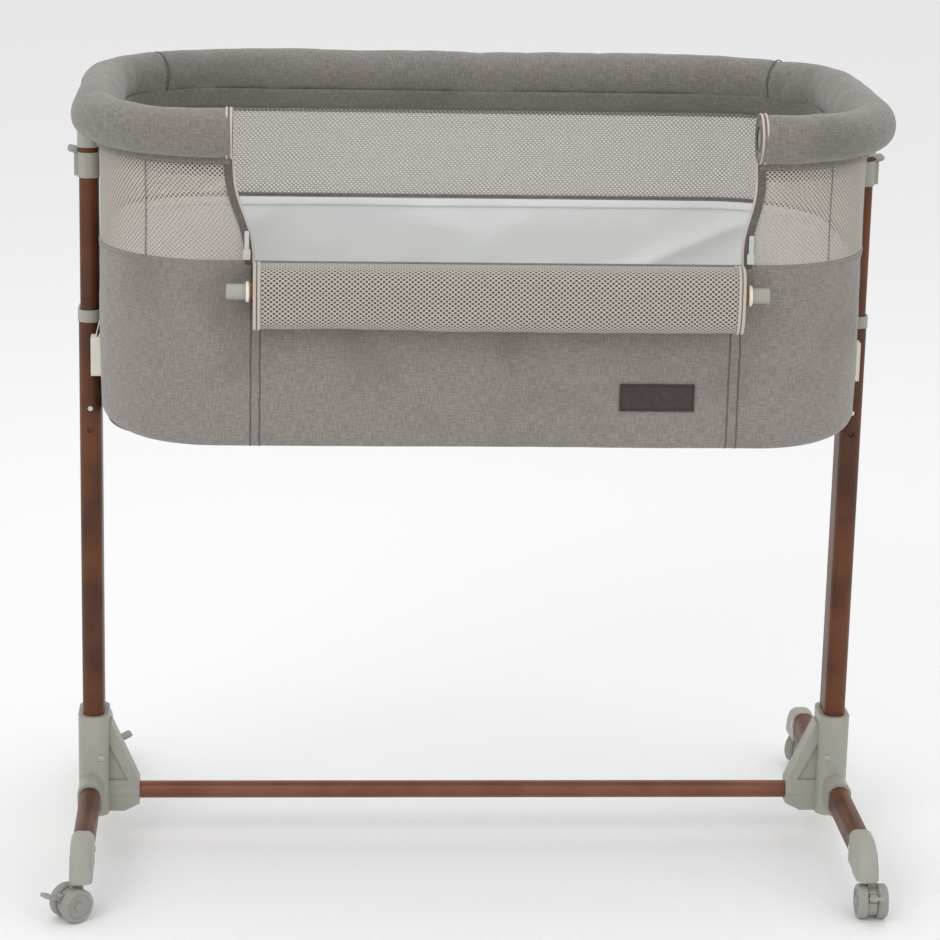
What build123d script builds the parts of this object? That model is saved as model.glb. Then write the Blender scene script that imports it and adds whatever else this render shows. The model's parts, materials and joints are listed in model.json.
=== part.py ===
from build123d import *

import os
from math import cos, radians, sin

# Bassinet on a height-adjustable rolling stand.
# Frame: origin on the floor under the middle of the object, +X along the basket to
# its right end, +Y away from the drop side, +Z up. Everything is in millimetres.
# Each piece is one node; pieces that move are drawn where they stand at rest.

# ---- Overall -----------------------------------------------------------------------
rim_half_x = 430.5  # rim tube centreline, from the middle
rim_half_y = 231.0
rim_corner = 132.0
rim_z = 899.5
mesh_height = 108.0  # see-through wall between the rim's hem and the skirt
skirt_height = 208.0
foot_tube_end = 214.0  # foot tube's half length
wheel_d = 40.0

# ---- Stand -------------------------------------------------------------------------
leg_tube_x = 25.5  # outer leg tube, across
leg_tube_y = 50.0  # outer leg tube, front to back
leg_tube_corner = 11.5
leg_x = rim_half_x + leg_tube_x / 2 + 3.75  # legs stand just outside the basket
tube_wall = 1.5
slide_gap = 0.5  # clearance all round the telescoping inner tube
running_gap = 0.05  # radial clearance of an axle, a stem or a pin
leg_tube_top = 644.0
collar_height = 14.0
collar_lip = 1.0  # collar stands this far outside the tube

caster_neck_top = wheel_d + 3.0
foot_x = leg_x + 3.0
foot_tube_x = 24.0
foot_tube_z = 36.0
foot_tube_corner = 11.0
foot_z = caster_neck_top + 25.0  # height of the foot tube's middle
cap_start = foot_tube_end - 14.0
cap_wall = 1.2
cap_end = foot_tube_end + 48.0
cap_bend = foot_tube_end + 1.0  # the cap's back starts to turn down here
cap_bottom = foot_z - 22.0
cap_edge = 9.0
cap_nose = 31.0  # length of the cap's flat underside, over the caster
cap_chamfer = 5.0

leg_tube_bottom = foot_z + 24.0
cross_bar_d = 21.0
cross_bar_z = foot_z - 7.0
cross_bar_seat = 32.0  # length held in each bracket
bracket_wall = 5.25
bracket_y = leg_tube_y + 12.0
bracket_top = foot_z + 95.0
bracket_bottom = foot_z - 30.0
bracket_corner = 14.0
hoop_reach = 60.0  # the bracket's hoop around the foot tube, from the middle
hoop_wall_x = 2.5
hoop_wall_z = 4.0
gusset_reach = leg_x - 54.0  # inner end of the gusset and of the cross bar socket
gusset_top = bracket_top - 13.0
gusset_y = 26.0
gusset_web = 20.0
gusset_rim = 6.0
gusset_toe = 18.0  # the gusset's bottom edge starts this far in from its end
gusset_window = 13.2  # the recess starts this far in from the gusset's end
socket_wall = 3.5

# Screws: bracket screws through the sleeve, cap screws through the foot tube.
screw_d = 3.6
screw_head_d = 7.0
screw_head = 1.6
screw_head_round = 0.7
bracket_screw_length = 5.5
cap_screw_length = 7.0
cap_screw_y = foot_tube_end - 7.0
bracket_screw_z = foot_z + 44.0
bracket_screw_in = 9.0  # towards the cross bar from the leg's axis

# ---- Casters -----------------------------------------------------------------------
caster_x = foot_x + 6.0
caster_y = foot_tube_end + 32.0
wheel_width = 12.5
wheel_gap = 11.0
wheel_trail = 6.0
axle_d = 5.0
stem_d = 10.0
stem_length = 14.5
neck_lip = 2.0  # neck stands this far outside the stem
body_d = wheel_d - 7.0
body_width = 10.0
lever_hub_d = 10.4
lever_hub_gap = 0.4
lever_hub_out = wheel_d / 2 - 1.0
lever_hub_z = wheel_d / 2 + 8.0
lever_tip_out = lever_hub_out + 25.0
lever_tip_z = wheel_d / 2 - 2.0
lever_thickness = 3.6
lever_slot = 5.2  # height of the lever's slot in the housing
lever_neck = 9.0
lever_pad = 15.0
lever_pad_start = 14.0
lever_pad_round = 4.0
lever_travel = 20.0
lever_margin = 4.0  # degrees of slot beyond each end of the travel
caster_turn = {  # heading of each brake lever about the vertical, from +X
    "front_left": 216.0,
    "front_right": 270.0,
    "rear_left": 20.0,
    "rear_right": 45.0,
}

# ---- Basket frame ------------------------------------------------------------------
rim_tube_d = 22.0
pad_r = rim_tube_d / 2 + 16.5
pad_gap = 0.3
hem_bottom = rim_z - 33.5
hem_height = 13.0
hem_thickness = 7.0
panel_x = rim_half_x - rim_corner  # seams where the straight runs meet the corners
panel_y = rim_half_y - 41.0
opening_left = -panel_x + 17.5  # ends of the rim padding at the drop side
opening_right = panel_x - 10.5
rail_socket_flange = 5.0
rail_socket_flange_d = rim_tube_d + 4.0
rail_socket_sink = 2.0  # the flange's face sits this far inside the padding
rail_socket_depth = 15.0
rail_socket_floor = 3.0
rail_socket_bore = rim_tube_d - 7.0
rail_socket_play = 0.7  # lets the straight spigot enter the rim's bend

inner_tube_bottom = leg_tube_top - 204.0
inner_tube_seat = 8.0  # length held in the rim's socket
socket_bottom = rim_z - 52.5
socket_step = rim_z - 31.5
socket_cheek = 3.0  # wall of the socket's tongue outside the rim tube
socket_overlap = 4.0
housing_top = socket_bottom - 6.0
housing_bottom = housing_top - 29.0
housing_wall = 1.75
trigger_plate = 2.4
trigger_gap = 0.3
trigger_half_y = 14.5
trigger_tip_x = leg_x + 23.5
trigger_flange = 3.0
trigger_round = 4.0
guide_width = 3.0
guide_inset = 2.0
lock_pin_d = 6.0
lock_pin_z = leg_tube_top - 103.0
lock_pin_length = 15.0
lock_pin_set = 0.2  # the pin's tip lies this far inside the tube's front face
lock_pin_collar = 3.0
lock_hole_pitch = 25.0

# ---- Basket cloth ------------------------------------------------------------------
wall_half_x = rim_half_x + 0.5  # outer face of the mesh walls and the skirt
wall_half_y = rim_half_y + 0.5
wall_corner = rim_corner + 0.5
mesh_thickness = 2.5
skirt_thickness = 3.0
skirt_top = hem_bottom - mesh_height
skirt_bottom = skirt_top - skirt_height
skirt_round = 30.0
opening_low_left = opening_left + 22.0  # ends of the drop side at the skirt's top
opening_low_right = opening_right - 10.0
board_thickness = 6.0
board_inset = 28.0
lining_gap = 0.5
lining_thickness = 2.0
lining_top = skirt_top - 10.0
lining_round = 20.0
mattress_inset_x = 36.0
mattress_inset_y = 34.0
mattress_corner = wall_corner - 22.5
mattress_thickness = 40.0
mattress_edge = 9.0
lower_ring_half_x = wall_half_x - 13.0
lower_ring_half_y = wall_half_y - 101.5
lower_ring_corner = 90.0
lower_ring_d = 16.0
lower_ring_gap = 0.2
label_x = opening_low_right - 90.5
label_z = skirt_bottom + 60.5
label_width = 83.0
label_height = 31.0
label_thickness = 1.2
label_corner = 2.0
buckle_y = -60.0
buckle_z = skirt_bottom + 64.0
buckle_height = 46.0
buckle_width = 22.0
buckle_thickness = 12.0
buckle_gap = 0.2
buckle_bar = 4.0  # bars above, below and beside the buckle's slots
buckle_middle_bar = 5.0

# ---- Drop side ---------------------------------------------------------------------
rail_y = -wall_half_y - 30.5
rail_z = skirt_top - 25.4
rail_d = 21.0
rail_left = opening_low_left - 7.0
rail_right = opening_low_right + 5.0
plug_left = rail_left - 21.0  # outer faces of the sprung end plugs
plug_right = rail_right + 19.0
plug_d = 17.0
plug_cap_d = 15.5
plug_cap = 6.0
plug_tail = 24.0
plug_round = 1.5
roll_left = opening_low_left + 1.0
roll_right = opening_low_right - 3.0
roll_top = skirt_top + 7.0
roll_bottom = roll_top - 78.0
roll_depth = 44.0
roll_corner = 18.0
roll_gap = 1.0  # between the roll and the label's face
slider_z = skirt_top + 10.0
slider_in = 6.0  # beside the opening's edge
slider_gap = 0.3
slider_width = 8.0
slider_depth = 4.0
slider_height = 12.0
slider_corner = 2.0
pull_width = 5.0
pull_height = 22.0
pull_lap = 4.0
pull_depth = 1.4

inner_tube_x = leg_tube_x - 2 * (tube_wall + slide_gap)
inner_tube_y = leg_tube_y - 2 * (tube_wall + slide_gap)
inner_tube_corner = leg_tube_corner - tube_wall - slide_gap
collar_top = leg_tube_top + collar_height
inner_tube_top = socket_bottom + inner_tube_seat
skirt_front_y = -wall_half_y

os.makedirs("parts", exist_ok=True)


def keep(node, label):
    """Labels a finished piece and writes it as its own node."""
    node.label = label
    export_step(node, f"parts/{label}.step")


def facing_back(x, y, z):
    """A sketch plane that faces +Y."""
    return Plane((x, y, z), x_dir=(1, 0, 0), z_dir=(0, 1, 0))


def facing_front(x, y, z):
    """A sketch plane that faces -Y."""
    return Plane((x, y, z), x_dir=(1, 0, 0), z_dir=(0, -1, 0))


def upright_tube(x, width, depth, corner, wall, low, high):
    """A hollow flat-oval tube standing on the leg's line."""
    with BuildPart() as tube:
        with BuildSketch(Plane((x, 0, low))):
            RectangleRounded(width, depth, corner)
            if wall:
                RectangleRounded(width - 2 * wall, depth - 2 * wall, corner - wall, mode=Mode.SUBTRACT)
        extrude(amount=high - low)
    return tube.part


def foot_bar(side, half_length):
    """The solid outline of a foot tube, front to back."""
    with BuildPart() as bar:
        with BuildSketch(facing_back(side * foot_x, -half_length, foot_z)):
            RectangleRounded(foot_tube_x, foot_tube_z, foot_tube_corner)
        extrude(amount=2 * half_length)
    return bar.part


# ---- Screws -------------------------------------------------------------------------
def screw(head_plane, length, grow=0.0):
    """A pan-head screw; its head sits on the plane's origin and its shank goes in."""
    with BuildPart() as one:
        with BuildSketch(head_plane):
            Circle(screw_head_d / 2)
        extrude(amount=screw_head)
        if not grow:
            outermost = one.faces().sort_by(Axis(head_plane.origin, head_plane.z_dir))[-1]
            fillet(outermost.edges(), screw_head_round)
        with BuildSketch(head_plane):
            Circle(screw_d / 2 + grow)
        extrude(amount=-length - grow)
    return one.part


def bracket_screw_plane(side):
    """Front of the sleeve, beside the gusset."""
    return facing_front(side * (leg_x - bracket_screw_in), -bracket_y / 2, bracket_screw_z)


def cap_screw_plane(side, end):
    """Inner cheek of a foot cap."""
    place = (side * (foot_x - foot_tube_x / 2 - cap_wall), end * cap_screw_y, foot_z)
    return Plane(place, x_dir=(0, 1, 0), z_dir=(-side, 0, 0))


screws = []
for side in (-1, 1):
    screws.append(screw(bracket_screw_plane(side), bracket_screw_length))
    for end in (-1, 1):
        screws.append(screw(cap_screw_plane(side, end), cap_screw_length))
keep(Compound(children=screws), "bracket_screws")

# ---- Cross bar between the brackets ----
cross_bar_half = gusset_reach + cross_bar_seat
with BuildPart() as cross_bar:
    with BuildSketch(Plane.YZ.offset(-cross_bar_half)):
        with Locations((0, cross_bar_z)):
            Circle(cross_bar_d / 2)
            Circle(cross_bar_d / 2 - tube_wall, mode=Mode.SUBTRACT)
    extrude(amount=2 * cross_bar_half)
keep(cross_bar.part, "cross_bar")


def base_bracket(side):
    """Moulded foot bracket: sleeve, hoop round the foot tube, gusset and bar socket."""
    sleeve_x = leg_tube_x + 2 * bracket_wall
    inner_face = leg_x - sleeve_x / 2
    with BuildPart() as bracket:
        with BuildSketch(Plane((side * leg_x, 0, bracket_bottom))):
            RectangleRounded(sleeve_x, bracket_y, bracket_corner)
        extrude(amount=bracket_top - bracket_bottom)
        with BuildSketch(facing_back(side * foot_x, -hoop_reach, foot_z)):
            RectangleRounded(
                foot_tube_x + 2 * hoop_wall_x, foot_tube_z + 2 * hoop_wall_z, foot_tube_corner + hoop_wall_x
            )
        extrude(amount=2 * hoop_reach)
        # The gusset runs from the sleeve down to the bar's socket.
        socket_r = cross_bar_d / 2 + socket_wall
        with BuildSketch(Plane.XZ.offset(-gusset_y / 2)):
            with BuildLine():
                Polyline(
                    (side * leg_x, gusset_top),
                    (side * (inner_face - gusset_rim / 2), gusset_top),
                    (side * gusset_reach, cross_bar_z + socket_r),
                    (side * gusset_reach, cross_bar_z - socket_r),
                    (side * (gusset_reach + gusset_toe), bracket_bottom),
                    (side * leg_x, bracket_bottom),
                    close=True,
                )
            make_face()
        extrude(amount=gusset_y)
        for face in (-1, 1):
            with BuildSketch(Plane.XZ.offset(face * gusset_y / 2)):
                with BuildLine():
                    Polyline(
                        (side * (inner_face + 1), gusset_top - 4 * gusset_rim),
                        (side * (gusset_reach + gusset_window), cross_bar_z + socket_r + 2),
                        (side * (inner_face + 1), cross_bar_z + socket_r + 2),
                        close=True,
                    )
                make_face()
            extrude(amount=-face * (gusset_y - gusset_web) / 2, mode=Mode.SUBTRACT)
        with BuildSketch(Plane.YZ.offset(side * gusset_reach)):
            with Locations((0, cross_bar_z)):
                Circle(socket_r)
        extrude(amount=side * (inner_face - gusset_reach + 4))
        # Seats for the leg tube, the foot tube, the bar and the screws.
        with BuildSketch(Plane((side * leg_x, 0, leg_tube_bottom))):
            RectangleRounded(leg_tube_x, leg_tube_y, leg_tube_corner)
        extrude(amount=bracket_top, mode=Mode.SUBTRACT)
        add(foot_bar(side, foot_tube_end), mode=Mode.SUBTRACT)
        with BuildSketch(Plane.YZ.offset(side * gusset_reach)):
            with Locations((0, cross_bar_z)):
                Circle(cross_bar_d / 2)
        extrude(amount=side * cross_bar_seat, mode=Mode.SUBTRACT)
        add(screw(bracket_screw_plane(side), bracket_screw_length), mode=Mode.SUBTRACT)
    return bracket.part


def foot_cap(side, end):
    """Elbow that closes the foot tube, turns down and holds the caster's stem."""
    half = foot_tube_x / 2 + cap_wall
    top = foot_z + foot_tube_z / 2 + cap_wall
    low = foot_z - foot_tube_z / 2 - cap_wall
    nose = cap_end - cap_nose
    with BuildPart() as cap:
        with BuildSketch(Plane.YZ.offset(side * foot_x - half)):
            with BuildLine():
                Line((end * cap_start, low), (end * cap_start, top))
                Line((end * cap_start, top), (end * cap_bend, top))
                TangentArc((end * cap_bend, top), (end * cap_end, cap_bottom), tangent=(end, 0))
                Line((end * cap_end, cap_bottom), (end * nose, cap_bottom))
                Line((end * nose, cap_bottom), (end * (nose - cap_chamfer), low))
                Line((end * (nose - cap_chamfer), low), (end * cap_start, low))
            make_face()
        extrude(amount=2 * half)
        long_edges = cap.faces().filter_by(Axis.X).edges()
        outline = [edge for edge in long_edges if abs(abs(edge.center().Y) - cap_start) > 1]
        fillet([edge for edge in outline if edge.center().Z > low + 1], cap_edge)
        add(foot_bar(side, foot_tube_end), mode=Mode.SUBTRACT)
        with BuildSketch(Plane((side * caster_x, end * caster_y, cap_bottom))):
            Circle(stem_d / 2 + running_gap)
        extrude(amount=stem_length - (cap_bottom - caster_neck_top) + 1, mode=Mode.SUBTRACT)
        add(screw(cap_screw_plane(side, end), cap_screw_length), mode=Mode.SUBTRACT)
    return cap.part


def foot_tube(side):
    """Flat-oval foot tube, hollow, with its screw holes."""
    with BuildPart() as tube:
        add(foot_bar(side, foot_tube_end))
        with BuildSketch(facing_back(side * foot_x, -foot_tube_end, foot_z)):
            RectangleRounded(
                foot_tube_x - 2 * tube_wall, foot_tube_z - 2 * tube_wall, foot_tube_corner - tube_wall
            )
        extrude(amount=2 * foot_tube_end, mode=Mode.SUBTRACT)
        for end in (-1, 1):
            add(screw(cap_screw_plane(side, end), cap_screw_length), mode=Mode.SUBTRACT)
    return tube.part


def leg_outer_tube(side):
    """Fixed leg tube with two lock holes in its front face."""
    with BuildPart() as tube:
        add(upright_tube(side * leg_x, leg_tube_x, leg_tube_y, leg_tube_corner, tube_wall,
                         leg_tube_bottom, leg_tube_top))
        for step in (0, 1):
            hole_z = lock_pin_z - step * lock_hole_pitch
            with BuildSketch(facing_back(side * leg_x, -leg_tube_y / 2, hole_z)):
                Circle(lock_pin_d / 2 + slide_gap)
            extrude(amount=2 * tube_wall, mode=Mode.SUBTRACT)
    return tube.part


def leg_collar(side):
    """Guide collar on the outer tube's top edge."""
    with BuildPart() as collar:
        with BuildSketch(Plane((side * leg_x, 0, leg_tube_top))):
            RectangleRounded(
                leg_tube_x + 2 * collar_lip, leg_tube_y + 2 * collar_lip, leg_tube_corner + collar_lip
            )
        extrude(amount=collar_height)
        fillet(collar.faces().sort_by(Axis.Z)[-1].edges(), 1.2)
        with BuildSketch(Plane((side * leg_x, 0, leg_tube_top))):
            RectangleRounded(
                inner_tube_x + 2 * slide_gap, inner_tube_y + 2 * slide_gap, inner_tube_corner + slide_gap
            )
        extrude(amount=collar_height, mode=Mode.SUBTRACT)
    return collar.part


# ---- Casters: a caster is drawn about its own stem, lever along +X, then turned ----
wheel_z = wheel_d / 2
lever_slope = Vector(lever_tip_out - lever_hub_out, lever_tip_z - lever_hub_z)
lever_reach = lever_slope.length


def lever_bar(turn, thickness, start, length, mode=Mode.ADD):
    """A straight bar in the lever's side view, at a turn about the lever's hub."""
    angle = Vector(1, 0).get_signed_angle(lever_slope) + turn
    middle = start + length / 2
    place = (lever_hub_out + middle * cos(radians(angle)), lever_hub_z + middle * sin(radians(angle)))
    with Locations(Location((place[0], place[1], 0), (0, 0, angle))):
        Rectangle(length, thickness, mode=mode)


def caster_housing():
    """Central body between the wheels, with its neck and stem."""
    with BuildPart() as housing:
        with BuildSketch(facing_front(0, body_width / 2, 0)):
            with Locations((wheel_trail, wheel_z)):
                Circle(body_d / 2)
            with Locations((0, (wheel_z + caster_neck_top) / 2)):
                Rectangle(stem_d + 2 * neck_lip, caster_neck_top - wheel_z)
            with Locations((wheel_trail, wheel_z)):
                Circle(axle_d / 2 + running_gap, mode=Mode.SUBTRACT)
            with Locations((lever_hub_out, lever_hub_z)):
                Circle(lever_hub_d / 2 + lever_hub_gap, mode=Mode.SUBTRACT)
            third = lever_travel / 3
            for turn in (lever_margin, -third, -2 * third, -lever_travel - lever_margin):
                lever_bar(turn, lever_slot, 0, lever_reach, Mode.SUBTRACT)
        extrude(amount=body_width)
        with BuildSketch(Plane.XY.offset(caster_neck_top)):
            Circle(stem_d / 2)
        extrude(amount=stem_length)
    return housing.part


def caster_wheel(outward):
    """One wheel: rounded tread, recessed outer face and a raised hub."""
    inner = wheel_gap / 2
    outer = inner + wheel_width
    with BuildPart() as wheel:
        with BuildSketch(Plane((wheel_trail, 0, wheel_z), x_dir=(0, outward, 0), z_dir=(outward, 0, 0))):
            with BuildLine():
                Polyline(
                    (inner, axle_d / 2),
                    (inner, wheel_d / 2 - 2),
                    (inner + 2, wheel_d / 2),
                    (outer - 3, wheel_d / 2),
                    (outer - 0.6, wheel_d / 2 - 2.4),
                    (outer - 0.6, wheel_d / 2 - 5),
                    (outer - 2.6, wheel_d / 2 - 6),
                    (outer - 2.6, axle_d / 2 + 3.5),
                    (outer, axle_d / 2 + 2.5),
                    (outer, axle_d / 2),
                    close=True,
                )
            make_face()
        revolve(axis=Axis((wheel_trail, 0, wheel_z), (0, 1, 0)))
    return wheel.part


def caster_axle():
    """Steel axle through both wheels."""
    half = wheel_gap / 2 + wheel_width
    with BuildPart() as axle:
        with BuildSketch(facing_front(wheel_trail, half, wheel_z)):
            Circle(axle_d / 2)
        extrude(amount=2 * half)
    return axle.part


def caster_brake():
    """Brake lever: a hub held in the housing, an arm and a foot pad."""
    with BuildPart() as brake:
        for width, start, length in (
            (lever_neck, 0, lever_pad_start + 2),
            (lever_pad, lever_pad_start, lever_reach - lever_pad_start),
        ):
            with BuildSketch(facing_front(0, width / 2, 0)):
                lever_bar(0, lever_thickness, start, length)
            extrude(amount=width)
        with BuildSketch(facing_front(0, lever_neck / 2, 0)):
            with Locations((lever_hub_out, lever_hub_z)):
                Circle(lever_hub_d / 2)
        extrude(amount=lever_neck)
        tip = brake.faces().sort_by(Axis.X)[-1]
        fillet(tip.edges().filter_by(Axis.Y, reverse=True), lever_pad_round)
    return brake.part


def placed(part, side, end, corner):
    """A caster piece turned to its heading and set under its foot cap."""
    return part.moved(Location((side * caster_x, end * caster_y, 0), (0, 0, caster_turn[corner])))


for side, side_name in ((-1, "left"), (1, "right")):
    keep(base_bracket(side), f"base_bracket_{side_name}")
    keep(foot_tube(side), f"foot_tube_{side_name}")
    keep(leg_outer_tube(side), f"leg_outer_tube_{side_name}")
    keep(leg_collar(side), f"leg_collar_{side_name}")
    for end, end_name in ((-1, "front"), (1, "rear")):
        corner = f"{end_name}_{side_name}"
        keep(foot_cap(side, end), f"foot_cap_{corner}")
        keep(placed(caster_housing(), side, end, corner), f"caster_{corner}_housing")
        rolling = [caster_wheel(-1), caster_wheel(1), caster_axle()]
        rolling = [placed(piece, side, end, corner) for piece in rolling]
        keep(Compound(children=rolling), f"caster_{corner}_wheels")
        keep(placed(caster_brake(), side, end, corner), f"caster_{corner}_brake")


# ---- Height adjustment -------------------------------------------------------------
def leg_inner_tube(side):
    """Sliding leg tube with the hole for its lock pin."""
    with BuildPart() as tube:
        add(upright_tube(side * leg_x, inner_tube_x, inner_tube_y, inner_tube_corner, tube_wall,
                         inner_tube_bottom, inner_tube_top))
        with BuildSketch(facing_back(side * leg_x, -inner_tube_y / 2, lock_pin_z)):
            Circle(lock_pin_d / 2 + running_gap)
        extrude(amount=2 * tube_wall, mode=Mode.SUBTRACT)
    return tube.part


def lock_pin(side):
    """Sprung pin behind the inner tube's front wall."""
    front = -inner_tube_y / 2 + lock_pin_set
    with BuildPart() as pin:
        with BuildSketch(facing_back(side * leg_x, front, lock_pin_z)):
            Circle(lock_pin_d / 2)
        extrude(amount=lock_pin_length)
        with BuildSketch(facing_front(side * leg_x, front + lock_pin_length, lock_pin_z)):
            Circle((lock_pin_d + lock_pin_collar) / 2)
        extrude(amount=lock_pin_collar)
    return pin.part


housing_half_x = inner_tube_x / 2 + housing_wall


def trigger_housing(side):
    """Moulded block round the inner tube, with guides for the trigger's plate."""
    outer_face = leg_x + housing_half_x
    with BuildPart() as housing:
        with BuildSketch(Plane((side * leg_x, 0, housing_bottom))):
            RectangleRounded(
                2 * housing_half_x, inner_tube_y + 2 * housing_wall, inner_tube_corner + housing_wall
            )
        extrude(amount=housing_top - housing_bottom)
        guide_y = trigger_half_y + trigger_gap + guide_width / 2
        with BuildSketch(Plane((side * (outer_face + 0.5), 0, housing_bottom + guide_inset))):
            with Locations((0, -guide_y), (0, guide_y)):
                Rectangle(2 * trigger_plate + 1, guide_width)
        extrude(amount=housing_top - housing_bottom - 2 * guide_inset)
        with BuildSketch(Plane((side * leg_x, 0, housing_bottom))):
            RectangleRounded(inner_tube_x, inner_tube_y, inner_tube_corner)
        extrude(amount=housing_top - housing_bottom, mode=Mode.SUBTRACT)
    return housing.part


def height_trigger(side):
    """Squeeze plate with a finger flange at its top."""
    plate_in = leg_x + housing_half_x + trigger_gap
    plate_out = plate_in + trigger_plate
    with BuildPart() as trigger:
        with BuildSketch(Plane.XZ.offset(-trigger_half_y)):
            with BuildLine():
                Polyline(
                    (side * plate_in, housing_bottom + 4),
                    (side * plate_out, housing_bottom + 4),
                    (side * plate_out, housing_top - 2),
                    (side * trigger_tip_x, housing_top + 1),
                    (side * trigger_tip_x, housing_top + 1 + trigger_flange),
                    (side * plate_in, housing_top - 1 + trigger_flange),
                    close=True,
                )
            make_face()
        extrude(amount=2 * trigger_half_y)
        corners = trigger.edges().filter_by(Axis.Z).group_by(Axis.X)[0 if side < 0 else -1]
        fillet(corners, trigger_round)
    return trigger.part


# ---- Rim ---------------------------------------------------------------------------
def rim_end_path(side, tip_x):
    """Half of the rim's centreline: back corner, end, front corner, to the tip."""
    inner_x, inner_y = side * panel_x, rim_half_y - rim_corner
    with BuildLine(Plane.XY.offset(rim_z)) as path:
        RadiusArc((inner_x, rim_half_y), (side * rim_half_x, inner_y), side * rim_corner)
        Line((side * rim_half_x, inner_y), (side * rim_half_x, -inner_y))
        RadiusArc((side * rim_half_x, -inner_y), (inner_x, -rim_half_y), side * rim_corner)
        Line((inner_x, -rim_half_y), (tip_x, -rim_half_y))
    return path.line


def swept_round(path, radius, hem=False):
    """A round bar along a path, with the sewn hem under it if asked."""
    start = path @ 0
    section_plane = Plane(start, x_dir=(0, 1, 0), z_dir=path % 0)
    with BuildPart() as bar:
        with BuildSketch(section_plane) as section:
            Circle(radius)
            if hem:
                below = 1 if section_plane.y_dir.Z < 0 else -1
                with Locations((0, below * (rim_z - hem_bottom - hem_height / 2))):
                    Rectangle(hem_thickness, hem_height)
        sweep(path=path, transition=Transition.RIGHT)
    return bar.part


def back_bar(radius, hem=False):
    """The rim's straight back run."""
    with BuildPart() as bar:
        with BuildSketch(Plane.YZ.offset(-panel_x)):
            with Locations((rim_half_y, rim_z)):
                Circle(radius)
            if hem:
                with Locations((rim_half_y, hem_bottom + hem_height / 2)):
                    Rectangle(hem_thickness, hem_height)
        extrude(amount=2 * panel_x)
    return bar.part


def rim_socket(side, grow=0.0):
    """Joint between the inner leg tube and the rim tube."""
    seat_x, seat_y = 2 * housing_half_x, inner_tube_y + 2 * housing_wall
    tongue_in = rim_half_x - rim_tube_d / 2 - socket_cheek
    tongue_out = rim_half_x + rim_tube_d / 2 + socket_cheek
    with BuildPart() as socket:
        with BuildSketch(Plane((side * leg_x, 0, socket_bottom))):
            RectangleRounded(seat_x + 2 * grow, seat_y + 2 * grow, inner_tube_corner + housing_wall)
        extrude(amount=socket_step + socket_overlap + grow - socket_bottom)
        middle = (tongue_in + tongue_out) / 2
        with BuildSketch(Plane((side * middle, 0, socket_step - grow))):
            RectangleRounded(tongue_out - tongue_in + 2 * grow, seat_y - 8 + 2 * grow, socket_cheek)
        extrude(amount=rim_z - socket_step + socket_overlap + grow)
        if not grow:
            with BuildSketch(Plane((side * leg_x, 0, socket_bottom))):
                RectangleRounded(inner_tube_x, inner_tube_y, inner_tube_corner)
            extrude(amount=inner_tube_top - socket_bottom, mode=Mode.SUBTRACT)
            with BuildSketch(facing_back(side * rim_half_x, -seat_y, rim_z)):
                Circle(rim_tube_d / 2)
            extrude(amount=2 * seat_y, mode=Mode.SUBTRACT)
    return socket.part


tube_tip_left = opening_left - rail_socket_flange - rail_socket_sink
tube_tip_right = opening_right + rail_socket_flange + rail_socket_sink
with BuildPart() as rim_tube:
    for radius, mode in ((rim_tube_d / 2, Mode.ADD), (rim_tube_d / 2 - tube_wall, Mode.SUBTRACT)):
        add(back_bar(radius), mode=mode)
        add(swept_round(rim_end_path(-1, tube_tip_left), radius), mode=mode)
        add(swept_round(rim_end_path(1, tube_tip_right), radius), mode=mode)
keep(rim_tube.part, "rim_tube")
keep(Compound(children=[rim_socket(-1), rim_socket(1)]), "rim_sockets")

with BuildPart() as rim_pad_back:
    add(back_bar(pad_r, hem=True))
    add(back_bar(rim_tube_d / 2 + pad_gap), mode=Mode.SUBTRACT)
keep(rim_pad_back.part, "rim_pad_back")


def rim_pad_end(side, tip_x):
    """Padding over one end of the rim, open at the drop side for the rail's socket."""
    tube_tip = tip_x + side * (rail_socket_flange + rail_socket_sink)
    with BuildPart() as pad:
        add(swept_round(rim_end_path(side, tip_x), pad_r, hem=True))
        add(swept_round(rim_end_path(side, tip_x), rim_tube_d / 2 + pad_gap), mode=Mode.SUBTRACT)
        add(rim_socket(side, grow=pad_gap), mode=Mode.SUBTRACT)
        with BuildSketch(Plane.YZ.offset(tube_tip)):
            with Locations((-rim_half_y, rim_z)):
                Circle(rail_socket_flange_d / 2 + pad_gap)
        extrude(amount=-side * (rail_socket_flange + rail_socket_sink), mode=Mode.SUBTRACT)
    return pad.part


def rail_socket(side, tip_x):
    """Plastic mouth in the rim tube's end that takes the rail's sprung plug."""
    tube_tip = tip_x + side * (rail_socket_flange + rail_socket_sink)
    with BuildPart() as socket:
        for radius, length in (
            (rail_socket_flange_d / 2, -rail_socket_flange),
            (rim_tube_d / 2 - tube_wall - rail_socket_play, rail_socket_depth),
        ):
            with BuildSketch(Plane.YZ.offset(tube_tip)):
                with Locations((-rim_half_y, rim_z)):
                    Circle(radius)
            extrude(amount=side * length)
        with BuildSketch(Plane.YZ.offset(tube_tip - side * rail_socket_flange)):
            with Locations((-rim_half_y, rim_z)):
                Circle(rail_socket_bore / 2)
        extrude(
            amount=side * (rail_socket_depth + rail_socket_flange - rail_socket_floor), mode=Mode.SUBTRACT
        )
    return socket.part


keep(rim_pad_end(-1, opening_left), "rim_pad_left")
keep(rim_pad_end(1, opening_right), "rim_pad_right")
keep(Compound(children=[rail_socket(-1, opening_left), rail_socket(1, opening_right)]), "rail_sockets")


# ---- Basket walls ------------------------------------------------------------------
def tub(half_x, half_y, corner, low, high, edge):
    """A solid block with rounded corners and a rounded bottom edge."""
    with BuildPart() as block:
        with BuildSketch(Plane.XY.offset(low)):
            RectangleRounded(2 * half_x, 2 * half_y, corner)
        extrude(amount=high - low)
        if edge:
            fillet(block.faces().sort_by(Axis.Z)[0].edges(), edge)
    return block.part


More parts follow.
